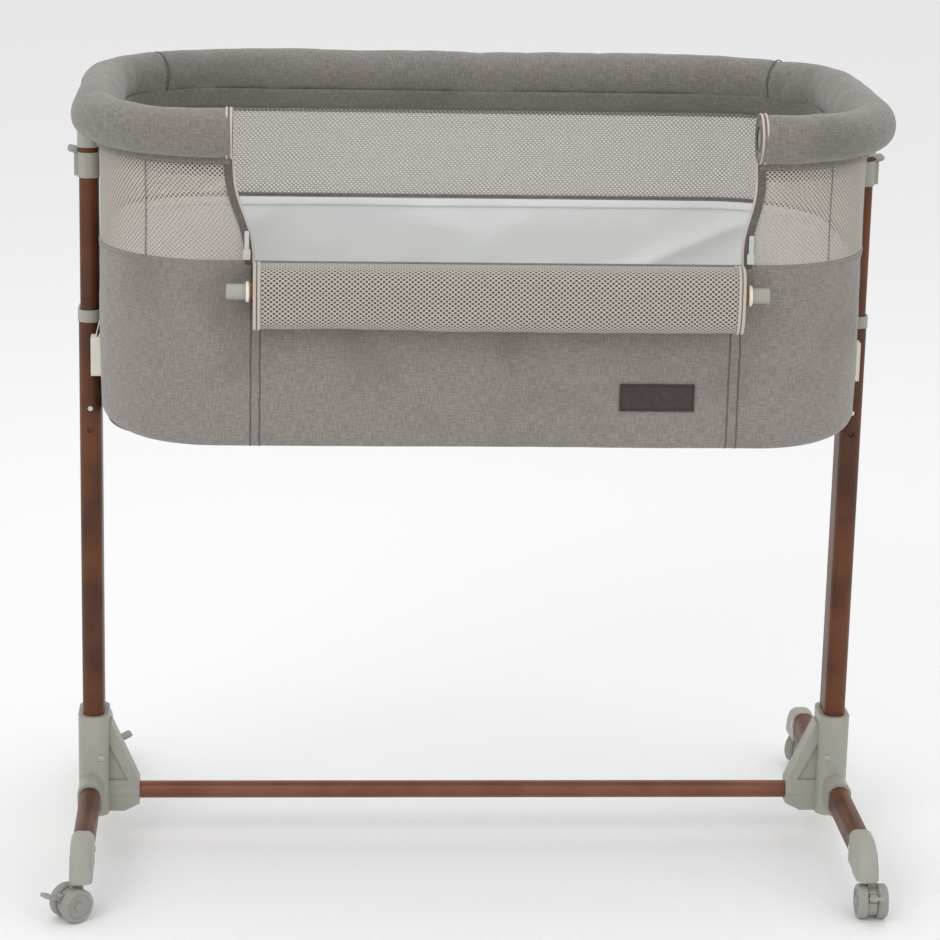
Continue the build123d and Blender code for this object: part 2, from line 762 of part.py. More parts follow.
def zone(x_range, y_range, z_range=(skirt_bottom - 50, rim_z + 50)):
    """A plain box used to divide the walls into their sewn panels."""
    size = [high - low for low, high in (x_range, y_range, z_range)]
    middle = [(low + high) / 2 for low, high in (x_range, y_range, z_range)]
    return Box(*size).moved(Location(tuple(middle)))


far = rim_half_x + rim_half_y  # beyond everything
zones = {
    "front": zone((-panel_x, panel_x), (-far, -panel_y)),
    "back": zone((-panel_x, panel_x), (panel_y, far)),
    "left": zone((-far, -panel_x), (-far, far)),
    "right": zone((panel_x, far), (-far, far)),
    "bottom": zone((-panel_x, panel_x), (-panel_y, panel_y)),
}

with BuildPart() as skirt:
    add(tub(wall_half_x, wall_half_y, wall_corner, skirt_bottom, skirt_top, skirt_round))
    add(
        tub(wall_half_x - skirt_thickness, wall_half_y - skirt_thickness, wall_corner - skirt_thickness,
            skirt_bottom + skirt_thickness, skirt_top + 1, skirt_round - skirt_thickness),
        mode=Mode.SUBTRACT,
    )
for name in ("front", "back", "left", "right", "bottom"):
    with BuildPart() as skirt_panel:
        add(skirt.part)
        add(zones[name], mode=Mode.INTERSECT)
    keep(skirt_panel.part, f"skirt_{name}")

with BuildPart() as mesh_ring:
    add(tub(wall_half_x, wall_half_y, wall_corner, skirt_top, hem_bottom, 0))
    add(
        tub(wall_half_x - mesh_thickness, wall_half_y - mesh_thickness, wall_corner - mesh_thickness,
            skirt_top, hem_bottom, 0),
        mode=Mode.SUBTRACT,
    )
    # The drop side's opening, wider at the rim than at the skirt.
    with BuildSketch(Plane.XZ.offset(wall_half_y - 20)):
        with BuildLine():
            Polyline(
                (opening_low_left, skirt_top),
                (opening_low_right, skirt_top),
                (opening_right, hem_bottom),
                (opening_left, hem_bottom),
                close=True,
            )
        make_face()
    extrude(amount=40, mode=Mode.SUBTRACT)
with BuildPart() as mesh_wall_back:
    add(mesh_ring.part)
    add(zones["back"], mode=Mode.INTERSECT)
keep(mesh_wall_back.part, "mesh_wall_back")
for name, half in (("left", (-far, 0)), ("right", (0, far))):
    with BuildPart() as mesh_wall_end:
        add(mesh_ring.part)
        add(zone(half, (-far, far)), mode=Mode.INTERSECT)
        add(zones["back"], mode=Mode.SUBTRACT)
    keep(mesh_wall_end.part, f"mesh_wall_{name}")

board_x = wall_half_x - skirt_thickness - board_inset
board_y = wall_half_y - skirt_thickness - board_inset
board_top = skirt_bottom + skirt_thickness + board_thickness
keep(
    tub(board_x, board_y, wall_corner - skirt_thickness - board_inset,
        skirt_bottom + skirt_thickness, board_top, 0),
    "base_board",
)

lining_x = wall_half_x - skirt_thickness - lining_gap
lining_y = wall_half_y - skirt_thickness - lining_gap
lining_corner = wall_corner - skirt_thickness - lining_gap
lining_low = board_top + lining_gap
with BuildPart() as lining:
    add(tub(lining_x, lining_y, lining_corner, lining_low, lining_top, lining_round))
    add(
        tub(lining_x - lining_thickness, lining_y - lining_thickness, lining_corner - lining_thickness,
            lining_low + lining_thickness, lining_top + 1, lining_round - lining_thickness),
        mode=Mode.SUBTRACT,
    )
keep(lining.part, "lining")

mattress_low = lining_low + lining_thickness + lining_gap
with BuildPart() as mattress:
    with BuildSketch(Plane.XY.offset(mattress_low)):
        RectangleRounded(
            2 * (wall_half_x - mattress_inset_x), 2 * (wall_half_y - mattress_inset_y), mattress_corner
        )
    extrude(amount=mattress_thickness)
    fillet(mattress.faces().filter_by(Axis.Z).edges(), mattress_edge)
keep(mattress.part, "mattress")

# Closed ring of round tube under the basket's floor.
ring_z = skirt_bottom - lower_ring_d / 2 - lower_ring_gap
straight_x = lower_ring_half_x - lower_ring_corner
straight_y = lower_ring_half_y - lower_ring_corner
with BuildPart() as lower_ring:
    with BuildLine(Plane.XY.offset(ring_z)) as ring_path:
        Line((0, -lower_ring_half_y), (straight_x, -lower_ring_half_y))
        RadiusArc((straight_x, -lower_ring_half_y), (lower_ring_half_x, -straight_y), -lower_ring_corner)
        Line((lower_ring_half_x, -straight_y), (lower_ring_half_x, straight_y))
        RadiusArc((lower_ring_half_x, straight_y), (straight_x, lower_ring_half_y), -lower_ring_corner)
        Line((straight_x, lower_ring_half_y), (0, lower_ring_half_y))
    with BuildSketch(Plane.YZ):
        with Locations((-lower_ring_half_y, ring_z)):
            Circle(lower_ring_d / 2)
    sweep(path=ring_path.line, transition=Transition.RIGHT)
    mirror(about=Plane.YZ)
keep(lower_ring.part, "lower_frame_ring")

with BuildPart() as label_patch:
    with BuildSketch(Plane.XZ.offset(wall_half_y)):
        with Locations((label_x, label_z)):
            RectangleRounded(label_width, label_height, label_corner)
    extrude(amount=label_thickness)
keep(label_patch.part, "label_patch")


def strap_buckle(side):
    """Two-slot ladder buckle for the bed strap, standing off the end wall."""
    with BuildPart() as buckle:
        with BuildSketch(Plane.YZ.offset(side * (wall_half_x + buckle_gap))):
            with Locations((buckle_y, buckle_z)):
                RectangleRounded(buckle_width, buckle_height, buckle_bar)
            slot = (buckle_height - 2 * buckle_bar - buckle_middle_bar) / 2
            slot_rise = (slot + buckle_middle_bar) / 2
            with Locations((buckle_y, buckle_z - slot_rise), (buckle_y, buckle_z + slot_rise)):
                Rectangle(buckle_width - 2 * buckle_bar, slot, mode=Mode.SUBTRACT)
        extrude(amount=side * buckle_thickness)
    return buckle.part


keep(Compound(children=[strap_buckle(-1), strap_buckle(1)]), "strap_buckles")

# ---- Drop side: rail, sprung end plugs, rolled panel and zip sliders ---------------
with BuildPart() as front_rail:
    with BuildSketch(Plane.YZ.offset(rail_left)):
        with Locations((rail_y, rail_z)):
            Circle(rail_d / 2)
            Circle(rail_d / 2 - tube_wall, mode=Mode.SUBTRACT)
    extrude(amount=rail_right - rail_left)
keep(front_rail.part, "front_rail")


def rail_plug(side, outer_x, rail_end):
    """Sprung plug: a tail that slides in the rail and a cap outside it."""
    with BuildPart() as plug:
        for radius, inward in (
            (plug_cap_d / 2, plug_cap),
            (plug_d / 2, abs(outer_x - rail_end) + plug_tail),
        ):
            with BuildSketch(Plane.YZ.offset(outer_x)):
                with Locations((rail_y, rail_z)):
                    Circle(radius)
            extrude(amount=-side * inward)
        fillet(plug.faces().sort_by(Axis.X)[0 if side < 0 else -1].edges(), plug_round)
    return plug.part


keep(rail_plug(-1, plug_left, rail_left), "rail_plug_left")
keep(rail_plug(1, plug_right, rail_right), "rail_plug_right")

roll_back = skirt_front_y - label_thickness - roll_gap
with BuildPart() as front_panel_roll:
    with BuildSketch(Plane.YZ.offset(roll_left)):
        with Locations((roll_back - roll_depth / 2, (roll_top + roll_bottom) / 2)):
            RectangleRounded(roll_depth, roll_top - roll_bottom, roll_corner)
        with Locations((rail_y, rail_z)):
            Circle(rail_d / 2 + pad_gap, mode=Mode.SUBTRACT)
    extrude(amount=roll_right - roll_left)
keep(front_panel_roll.part, "front_panel_roll")


def zip_slider(x):
    """Zip slider with its pull hanging down."""
    back = skirt_front_y - slider_gap
    with BuildPart() as slider:
        with BuildSketch(Plane.XZ.offset(-back)):
            with Locations((x, slider_z)):
                RectangleRounded(slider_width, slider_height, slider_corner)
        extrude(amount=slider_depth)
        with BuildSketch(Plane.XZ.offset(-back + slider_depth - pull_depth)):
            with Locations((x, slider_z + pull_lap + pull_height / 2)):
                RectangleRounded(pull_width, pull_height, slider_corner)
        extrude(amount=pull_depth)
    return slider.part


keep(zip_slider(opening_low_left - slider_in), "zip_slider_left")
keep(zip_slider(opening_low_right + slider_in), "zip_slider_right")

for side, side_name in ((-1, "left"), (1, "right")):
    keep(leg_inner_tube(side), f"leg_inner_tube_{side_name}")
    keep(lock_pin(side), f"lock_pin_{side_name}")
    keep(trigger_housing(side), f"trigger_housing_{side_name}")
    keep(height_trigger(side), f"height_trigger_{side_name}")
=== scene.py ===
"""Looks of a bassinet on a rolling stand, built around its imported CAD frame.

All sizes are in metres, in the frame of the CAD model: the drop side faces -Y and +Z is up.
"""

import json
import logging
import math
from collections.abc import Callable
from dataclasses import dataclass, field
from enum import Enum
from functools import cache

import bmesh
import bpy
from mathutils import Matrix, Vector, noise

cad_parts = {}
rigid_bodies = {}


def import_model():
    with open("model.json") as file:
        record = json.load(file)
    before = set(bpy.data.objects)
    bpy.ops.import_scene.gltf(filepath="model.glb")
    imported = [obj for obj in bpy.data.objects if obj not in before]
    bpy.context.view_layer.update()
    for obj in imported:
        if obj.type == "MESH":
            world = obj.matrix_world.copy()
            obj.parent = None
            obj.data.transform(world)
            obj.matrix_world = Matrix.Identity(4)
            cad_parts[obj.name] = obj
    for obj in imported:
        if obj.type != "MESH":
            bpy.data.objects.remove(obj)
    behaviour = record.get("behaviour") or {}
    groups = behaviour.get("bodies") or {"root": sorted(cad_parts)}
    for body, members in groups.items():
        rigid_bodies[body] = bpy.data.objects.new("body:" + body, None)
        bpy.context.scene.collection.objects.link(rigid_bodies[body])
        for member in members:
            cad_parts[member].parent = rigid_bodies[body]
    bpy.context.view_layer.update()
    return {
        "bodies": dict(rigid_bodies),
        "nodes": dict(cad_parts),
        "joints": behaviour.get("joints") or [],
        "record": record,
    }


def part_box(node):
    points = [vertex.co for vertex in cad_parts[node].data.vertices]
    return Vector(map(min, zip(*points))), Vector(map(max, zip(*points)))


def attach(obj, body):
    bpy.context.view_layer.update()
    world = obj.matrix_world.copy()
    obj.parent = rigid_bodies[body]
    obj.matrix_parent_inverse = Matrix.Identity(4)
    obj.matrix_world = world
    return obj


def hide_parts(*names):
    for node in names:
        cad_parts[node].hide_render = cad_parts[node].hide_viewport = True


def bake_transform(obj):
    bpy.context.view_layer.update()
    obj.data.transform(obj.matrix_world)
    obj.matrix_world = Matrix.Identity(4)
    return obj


log = logging.getLogger("bassinet")
Colour = tuple[float, float, float]
Shape = Callable[[float, float], Vector]
MM = 0.001
UP = Vector((0.0, 0.0, 1.0))
EVEN = (1.0, 1.0, 1.0)

# Stated cuts of the cloth pieces, where they don't come from the frame.
FACING_CUT_HEIGHT = 40 * MM
MESH_CUT_HEIGHT = 126 * MM
LINING_CUT = (1.25, 0.82)
FLOOR_CUT = (0.84, 0.44)
PANEL_CUT_LENGTH = 0.26

# Double seams of the skirt, from the middle of the drop side and from the middle of the back.
FRONT_SEAMS = (-0.2605, -0.2505, 0.2665, 0.2775)
BACK_SEAMS = (-0.27, -0.26, 0.26, 0.27)


@cache
def cad_box(node: str) -> tuple[Vector, Vector]:
    """The low and high corner of a CAD node."""
    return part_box(node)


class Side(Enum):
    """The two ends of the basket, as the drop side is faced."""

    LEFT = -1
    RIGHT = 1

    @property
    def word(self) -> str:
        """The side's name in node names."""
        return self.name.lower()


# --------------------------------------------------------------------------- shader maths
class Value:
    """A shader socket that takes part in arithmetic."""

    def __init__(self, recipe: "Recipe", socket: bpy.types.NodeSocket) -> None:
        """Keeps the socket and the recipe that owns it."""
        self.recipe = recipe
        self.socket = socket

    def _math(self, operation: str, first: object, second: object = 0.0) -> "Value":
        """Adds one Math node.

        Args:
            operation: the Math node's operation.
            first: the first number or Value.
            second: the second number or Value.

        Returns:
            The node's result.
        """
        return self.recipe.node("ShaderNodeMath", {"operation": operation}, {0: first, 1: second})

    def __add__(self, other: object) -> "Value":
        """Sum."""
        return self._math("ADD", self, other)

    def __radd__(self, other: object) -> "Value":
        """Sum, reflected."""
        return self._math("ADD", other, self)

    def __sub__(self, other: object) -> "Value":
        """Difference."""
        return self._math("SUBTRACT", self, other)

    def __rsub__(self, other: object) -> "Value":
        """Difference, reflected."""
        return self._math("SUBTRACT", other, self)

    def __mul__(self, other: object) -> "Value":
        """Product."""
        return self._math("MULTIPLY", self, other)

    def cosine(self) -> "Value":
        """Cosine of the value in radians."""
        return self._math("COSINE", self)

    def at_least(self, other: object) -> "Value":
        """The larger of the two."""
        return self._math("MAXIMUM", self, other)

    def step(self, low: float, high: float) -> "Value":
        """Smooth step from 0 at low to 1 at high.

        Args:
            low: the value that gives 0.
            high: the value that gives 1.

        Returns:
            The stepped value.
        """
        return self.recipe.node(
            "ShaderNodeMapRange",
            {"interpolation_type": "SMOOTHSTEP"},
            {0: self, 1: low, 2: high, 3: 0.0, 4: 1.0},
        )


class Recipe:
    """One material: a Principled surface and the nodes that feed it."""

    def __init__(self, name: str) -> None:
        """Starts an empty node tree.

        Args:
            name: the material's name.
        """
        self.material = bpy.data.materials.new(name)
        self.material.use_nodes = True
        self.tree = self.material.node_tree
        self.tree.nodes.clear()
        self.surface = self.tree.nodes.new("ShaderNodeBsdfPrincipled")
        output = self.tree.nodes.new("ShaderNodeOutputMaterial")
        self.tree.links.new(self.surface.outputs[0], output.inputs["Surface"])

    def put(self, socket: bpy.types.NodeSocket, value: object) -> None:
        """Links or sets one input socket.

        Args:
            socket: the input.
            value: a Value to link, or a number, colour or vector to set.
        """
        if isinstance(value, Value):
            self.tree.links.new(value.socket, socket)
        elif isinstance(value, tuple) and len(value) == 3 and socket.type == "RGBA":
            socket.default_value = (*value, 1.0)
        else:
            socket.default_value = value

    def node(
        self, kind: str, settings: dict | None = None, sockets: dict | None = None, out: int | str = 0
    ) -> Value:
        """Adds any node.

        Args:
            kind: the node's type.
            settings: properties set before the sockets.
            sockets: input names or numbers, and what goes in.
            out: which output is returned.

        Returns:
            The chosen output.
        """
        made = self.tree.nodes.new(kind)
        for name, value in (settings or {}).items():
            setattr(made, name, value)
        for key, value in (sockets or {}).items():
            self.put(made.inputs[key], value)
        return Value(self, made.outputs[out])

    def tint(self, share: object, first: object, second: object) -> Value:
        """Mixes two colours.

        Args:
            share: 0 gives the first colour and 1 the second.
            first: a colour or Value.
            second: a colour or Value.

        Returns:
            The mixed colour.
        """
        return self.node("ShaderNodeMix", {"data_type": "RGBA"}, {0: share, 6: first, 7: second}, 2)

    def place(self, scale: Colour = EVEN, cloth: bool = False) -> Value:
        """Scaled coordinates: the piece's own cloth map, or its place in the object.

        Args:
            scale: how much each axis is scaled.
            cloth: whether to follow the cloth map.

        Returns:
            The coordinates.
        """
        base = self.node("ShaderNodeTexCoord", None, None, "UV" if cloth else "Object")
        return self.node("ShaderNodeMapping", None, {"Vector": base, "Scale": scale})

    def speckle(
        self, scale: float, spread: Colour = EVEN, detail: float = 3.0, cloth: bool = False
    ) -> Value:
        """Noise from 0 to 1.

        Args:
            scale: the noise's frequency per metre.
            spread: how it is stretched along each axis.
            detail: the noise's octaves.
            cloth: whether it follows the cloth map.

        Returns:
            The noise's value.
        """
        sockets = {"Vector": self.place(spread, cloth), "Scale": scale, "Detail": detail}
        return self.node("ShaderNodeTexNoise", None, sockets)

    def finish(self, **sockets: object) -> bpy.types.Material:
        """Feeds the surface.

        Args:
            **sockets: input names with underscores for spaces, and what goes in.

        Returns:
            The finished material.
        """
        for name, value in sockets.items():
            self.put(self.surface.inputs[name.replace("_", " ")], value)
        return self.material

    def relief(self, height: Value, depth: float, strength: float = 1.0) -> Value:
        """A bump from a height.

        Args:
            height: the height, from 0 to 1.
            depth: what a height of 1 stands for, in metres.
            strength: the bump's strength.

        Returns:
            The bumped normal.
        """
        return self.node("ShaderNodeBump", None, {"Height": height, "Distance": depth, "Strength": strength})


# ------------------------------------------------------------------------------- finishes
@dataclass(frozen=True)
class LinenCloth:
    """Heathered plain-weave cloth, with slubs along both threads."""

    name: str
    base: Colour
    dark: Colour
    light: Colour
    thread: float = 1.3 * MM
    slub: float = 0.8
    map_cloth: bool = True

    def make(self) -> bpy.types.Material:
        """Builds the weave, its heather and a broad soft unevenness."""
        r = Recipe(self.name)
        long_slub = r.speckle(1.0, (90.0, 900.0, 900.0), 3.0, self.map_cloth)
        cross_slub = r.speckle(1.0, (900.0, 90.0, 90.0), 3.0, self.map_cloth)
        fibre = r.speckle(1500.0, EVEN, 2.0, self.map_cloth)
        cloud = r.speckle(9.0, EVEN, 3.0, False)
        heather = (long_slub + cross_slub) * 0.5
        colour = r.tint(heather.step(0.40, 0.62) * self.slub, self.base, self.light)
        colour = r.tint(fibre.step(0.55, 0.75) * 0.5, colour, self.dark)
        colour = r.tint((1.0 - cloud).step(0.45, 0.75) * 0.35, colour, self.dark)
        parts = r.node("ShaderNodeSeparateXYZ", None, {0: r.place(cloth=self.map_cloth)}, 0)
        across = Value(r, parts.socket.node.outputs[1])
        turn = 2 * math.pi / self.thread
        weave = ((parts * turn).cosine() * (across * turn).cosine()) * 0.25 + heather
        return r.finish(
            Base_Color=colour,
            Roughness=0.86 + heather * 0.1,
            Sheen_Weight=0.25,
            Sheen_Roughness=0.5,
            Specular_IOR_Level=0.25,
            Normal=r.relief(weave, 0.35 * MM, 0.6),
        )


@dataclass(frozen=True)
class OpenMesh:
    """Knitted open mesh: staggered round holes between soft yarns, with painted shade in the holes as far as
    they are not see-through.
    """

    name: str
    yarn: Colour
    shade: Colour
    pitch_across: float = 5.4 * MM
    pitch_up: float = 4.8 * MM
    hole: float = 0.04
    see_through: float = 0.85

    def make(self) -> bpy.types.Material:
        """Builds the holes, painted with shade as far as they are not see-through, the yarns' roundness and
        their fibre.
        """
        r = Recipe(self.name)
        u = r.node("ShaderNodeSeparateXYZ", None, {0: r.place(cloth=True)}, 0)
        v = Value(r, u.socket.node.outputs[1])
        wave = (u * (2 * math.pi / self.pitch_across)).cosine() * (v * (2 * math.pi / self.pitch_up)).cosine()
        hole = wave.step(self.hole, self.hole + 0.3)
        fibre = r.speckle(1400.0, EVEN, 2.0, True)
        # In the holes the shade colour is painted shade of the gaps; the fibre's darker flecks are the yarn's
        # own tone.
        colour = r.tint((fibre.step(0.4, 0.7) * 0.3).at_least(hole), self.yarn, self.shade)
        return r.finish(
            Base_Color=colour,
            Roughness=0.75 + fibre * 0.15,
            Sheen_Weight=0.2,
            Specular_IOR_Level=0.3,
            Alpha=1.0 - hole * self.see_through,
            Normal=r.relief((1.0 - hole) * 0.8 + fibre * 0.2, 0.6 * MM, 0.8),
        )


@dataclass(frozen=True)
class PlainCloth:
    """Smooth fine cloth with a faint weave and soft unevenness."""

    name: str
    base: Colour
    shade: Colour
    ribs: float = 0.0

    def make(self) -> bpy.types.Material:
        """Builds the fine weave, with ribs across it for webbing and tape."""
        r = Recipe(self.name)
        fine = r.speckle(1200.0, EVEN, 3.0, False)
        cloud = r.speckle(7.0, EVEN, 4.0, False)
        height = fine * 0.6
        if self.ribs:
            v = r.node("ShaderNodeSeparateXYZ", None, {0: r.place(cloth=True)}, 1)
            height = height + (v * (2 * math.pi / self.ribs)).cosine() * 0.4
        return r.finish(
            Base_Color=r.tint(cloud.step(0.35, 0.7) * 0.5 + fine * 0.2, self.base, self.shade),
            Roughness=0.8 + fine * 0.1,
            Sheen_Weight=0.15,
            Specular_IOR_Level=0.3,
            Normal=r.relief(height, 0.25 * MM, 0.5),
        )


@dataclass(frozen=True)
class PaintedTube:
    """Brown semi-gloss paint over steel, with fine flake and handling wear."""

    name: str
    base: Colour
    deep: Colour
    roughness: float = 0.34
    metallic: float = 0.2

    def make(self) -> bpy.types.Material:
        """Builds the paint's flake, soft clouding and uneven gloss."""
        r = Recipe(self.name)
        streak = r.speckle(16.0, EVEN, 5.0)
        flake = r.speckle(2600.0, EVEN, 1.0)
        colour = r.tint(streak.step(0.35, 0.7), self.base, self.deep)
        colour = r.tint(flake.step(0.62, 0.8) * 0.35, colour, (0.42, 0.22, 0.12))
        return r.finish(
            Base_Color=colour,
            Metallic=self.metallic,
            Specular_IOR_Level=0.35,
            Roughness=self.roughness + streak * 0.1,
            Coat_Weight=0.12,
            Coat_Roughness=0.25,
            Normal=r.relief(flake, 0.03 * MM, 0.3),
        )


@dataclass(frozen=True)
class Moulding:
    """Injection-moulded plastic with spark-eroded grain and faint flow marks."""

    name: str
    base: Colour
    shade: Colour
    roughness: float = 0.45
    grain: float = 0.06 * MM

    def make(self) -> bpy.types.Material:
        """Builds the grain, flow marks and a slightly rubbed gloss."""
        r = Recipe(self.name)
        grain = r.speckle(2200.0, EVEN, 2.0)
        flow = r.speckle(22.0, (1.0, 1.0, 0.4), 4.0)
        return r.finish(
            Base_Color=r.tint(flow.step(0.35, 0.75) * 0.6, self.base, self.shade),
            Roughness=self.roughness + flow * 0.12 - grain * 0.05,
            Specular_IOR_Level=0.5,
            Normal=r.relief(grain, self.grain, 0.4),
        )


@dataclass(frozen=True)
class BareMetal:
    """Plated metal with fine turning marks."""

    name: str
    base: Colour
    roughness: float = 0.32

    def make(self) -> bpy.types.Material:
        """Builds the turning marks and uneven plating."""
        r = Recipe(self.name)
        marks = r.speckle(1.0, (2600.0, 2600.0, 300.0), 2.0)
        cloud = r.speckle(120.0)
        return r.finish(
            Base_Color=r.tint(cloud.step(0.4, 0.7) * 0.3, self.base, (0.42, 0.41, 0.39)),
            Metallic=1.0,
            Roughness=self.roughness + marks * 0.12,
            Normal=r.relief(marks, 0.02 * MM, 0.3),
        )


@dataclass(frozen=True)
class LabelLeather:
    """Dark split leather with pebbled grain and rubbed high spots."""

    name: str
    base: Colour
    rubbed: Colour

    def make(self) -> bpy.types.Material:
        """Builds cells of grain, creases between them and rubbed tops."""
        r = Recipe(self.name)
        grain = {"Vector": r.place(), "Scale": 900.0}
        cells = r.node("ShaderNodeTexVoronoi", {"feature": "F1"}, grain, "Distance")
        crease = cells.step(0.2, 0.6)
        rub = r.speckle(140.0, EVEN, 4.0)
        return r.finish(
            Base_Color=r.tint(rub.step(0.5, 0.75) * 0.6, self.base, self.rubbed),
            Roughness=0.5 + crease * 0.2,
            Normal=r.relief(1.0 - crease, 0.15 * MM, 0.6),
        )


class Palette:
    """Every finish on the bassinet, made once."""

    def __init__(self) -> None:
        """Makes the materials."""
        taupe, taupe_dark, taupe_light = (0.165, 0.150, 0.134), (0.100, 0.090, 0.080), (0.270, 0.250, 0.228)
        self.rim = LinenCloth("rim_linen", taupe, taupe_dark, taupe_light).make()
        self.skirt = LinenCloth(
            "skirt_linen", (0.205, 0.184, 0.168), (0.120, 0.107, 0.096), (0.320, 0.294, 0.272)
        ).make()
        # Seam lines: a darker linen that is painted shade of the seams' grooves.
        self.seam = LinenCloth(
            "seam_shade", (0.105, 0.094, 0.085), (0.06, 0.055, 0.05), (0.16, 0.145, 0.13)
        ).make()
        self.binding = LinenCloth(
            "dark_binding", (0.105, 0.096, 0.090), (0.06, 0.055, 0.05), (0.17, 0.155, 0.145)
        ).make()
        self.mesh = OpenMesh("wall_mesh", (0.52, 0.475, 0.425), (0.20, 0.172, 0.150)).make()
        # The band's holes are mostly opaque and dark: painted shade of its gaps.
        self.mesh_band = OpenMesh(
            "mesh_band", (0.42, 0.38, 0.34), (0.12, 0.105, 0.09), see_through=0.2
        ).make()
        # The panel's holes are opaque and near-black: painted shade of the gaps between its yarns.
        self.panel = OpenMesh(
            "panel_mesh", (0.50, 0.455, 0.410), (0.075, 0.062, 0.052), 6.2 * MM, 5.6 * MM, 0.02, 0.0
        ).make()
        self.panel_core = LinenCloth(
            "panel_core", (0.20, 0.17, 0.145), (0.12, 0.10, 0.09), (0.28, 0.25, 0.22)
        ).make()
        self.lining = PlainCloth("lining_cloth", (0.775, 0.785, 0.778), (0.68, 0.695, 0.688)).make()
        self.mattress = PlainCloth("mattress_cloth", (0.84, 0.845, 0.835), (0.75, 0.755, 0.745)).make()
        self.floor_cloth = PlainCloth("floor_cloth", (0.70, 0.73, 0.76), (0.58, 0.61, 0.64)).make()
        self.tape = PlainCloth("zip_tape", (0.56, 0.49, 0.44), (0.44, 0.38, 0.34), 1.2 * MM).make()
        self.webbing = PlainCloth("webbing", (0.80, 0.78, 0.72), (0.66, 0.64, 0.58), 1.6 * MM).make()
        self.teeth = Moulding("zip_teeth", (0.42, 0.37, 0.34), (0.32, 0.28, 0.26), 0.4).make()
        self.tube = PaintedTube("walnut_paint", (0.125, 0.036, 0.010), (0.060, 0.017, 0.005), 0.42).make()
        self.tube_bar = PaintedTube(
            "copper_paint", (0.235, 0.095, 0.060), (0.180, 0.070, 0.044), 0.30, 0.7
        ).make()
        self.plastic = Moulding("grey_green_plastic", (0.360, 0.355, 0.305), (0.300, 0.297, 0.255)).make()
        self.wheel = Moulding("wheel_plastic", (0.330, 0.320, 0.295), (0.250, 0.242, 0.222), 0.5).make()
        self.cream = Moulding("cream_plastic", (0.78, 0.75, 0.66), (0.70, 0.67, 0.58), 0.28, 0.02 * MM).make()
        self.board = LinenCloth(
            "fibre_board", (0.50, 0.42, 0.32), (0.36, 0.30, 0.22), (0.6, 0.52, 0.41), map_cloth=False
        ).make()
        self.zinc = BareMetal("zinc_plate", (0.60, 0.59, 0.56)).make()
        self.nickel = BareMetal("white_nickel", (0.62, 0.61, 0.58), 0.3).make()
        self.leather = LabelLeather("label_leather", (0.038, 0.026, 0.023), (0.070, 0.050, 0.044)).make()
        self.thread = PlainCloth("label_thread", (0.022, 0.016, 0.015), (0.04, 0.03, 0.028)).make()


# ---------------------------------------------------------------------------- mesh making
def as_piece(name: str, bm: bmesh.types.BMesh, finish: bpy.types.Material) -> bpy.types.Object:
    """Makes an object at the origin from a bmesh, and frees it.

    Args:
        name: the piece's name.
        bm: the finished bmesh.
        finish: its material.

    Returns:
        The new object, linked to the scene.
    """
    mesh = bpy.data.meshes.new(name)
    for face in bm.faces:
        face.smooth = True
    bm.to_mesh(mesh)
    bm.free()
    mesh.materials.append(finish)
    piece = bpy.data.objects.new(name, mesh)
    bpy.context.scene.collection.objects.link(piece)
    return piece


def shaped_grid(
    across: int,
    up: int,
    shape: Shape,
    size: tuple[float, float],
    filled: Callable[[Vector], bool] | None = None,
) -> bmesh.types.BMesh:
    """Bends a flat grid to a shape, joins edges that meet and keeps its cloth map.

    Args:
        across: faces along the first direction.
        up: faces along the second direction.
        shape: gives the point for each pair of shares from 0 to 1.
        size: the cloth's size in both directions, in metres, for the map.
        filled: says, from a point on an open edge, whether that end is closed.

    Returns:
        The bent grid.
    """
    bm = bmesh.new()
    bmesh.ops.create_grid(bm, x_segments=across, y_segments=up, size=0.5)
    uv = bm.loops.layers.uv.new("cloth")
    for face in bm.faces:
        for corner in face.loops:
            corner[uv].uv = ((corner.vert.co.x + 0.5) * size[0], (corner.vert.co.y + 0.5) * size[1])
    for vert in bm.verts:
        vert.co = shape(min(max(vert.co.x + 0.5, 0.0), 1.0), min(max(vert.co.y + 0.5, 0.0), 1.0))
    bmesh.ops.remove_doubles(bm, verts=bm.verts, dist=0.02 * MM)
    if filled:
        rims = [edge for edge in bm.edges if edge.is_boundary and filled(edge.verts[0].co)]
        bmesh.ops.holes_fill(bm, edges=rims, sides=0)
    bmesh.ops.recalc_face_normals(bm, faces=bm.faces)
    return bm


def declare_sheet(
    piece: bpy.types.Object, flat: tuple[float, float]
) -> None:
    """Logs a cloth piece's stated cut and its area.

    The area given is the modelled cloth's own, or the cut's rectangle if that is smaller. It was
    not worked out from a pattern, so it can't show whether the shape was made from the cut.

    Args:
        piece: the cloth.
        flat: the stated cut's width and length, in metres.
    """
    area = min(cloth_area(piece), flat[0] * flat[1])
    log.info("%s has a stated cut of %.3f by %.3f m, and %.4f square metres", piece.name, *flat, area)


def thicken(piece: bpy.types.Object, thickness: float, offset: float = -1.0) -> None:
    """Gives a sheet its thickness with a live Solidify, inwards unless told otherwise."""
    wall = piece.modifiers.new("thickness", "SOLIDIFY")
    wall.thickness = thickness
    wall.offset = offset


def settled(piece: bpy.types.Object, body: str, slot: str, *nodes: str) -> None:
    """Rides a piece on its body and hides the CAD nodes that it stands for.

    Args:
        piece: the finished piece.
        body: the CAD body it moves with.
        slot: the record's material slot; not used.
        *nodes: CAD nodes that it replaces.
    """
    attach(piece, body)
    if nodes:
        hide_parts(*nodes)
    log.info("%s rides on %s with %d faces", piece.name, body, len(piece.data.polygons))


def sewn(
    name: str,
    grid: bmesh.types.BMesh,
    finish: bpy.types.Material,
    slot: str,
    thickness: float = 0.0,
    offset: float = -1.0,
) -> None:
    """Makes a cloth piece that rides on the basket.

    Args:
        name: the piece's name.
        grid: its shape.
        finish: its material.
        slot: the record's material slot.
        thickness: the cloth's thickness, or 0 for none.
        offset: which way it is thickened, from -1, inwards, to 1.
    """
    piece = as_piece(name, grid, finish)
    if thickness:
        thicken(piece, thickness, offset)
    settled(piece, "basket", slot)


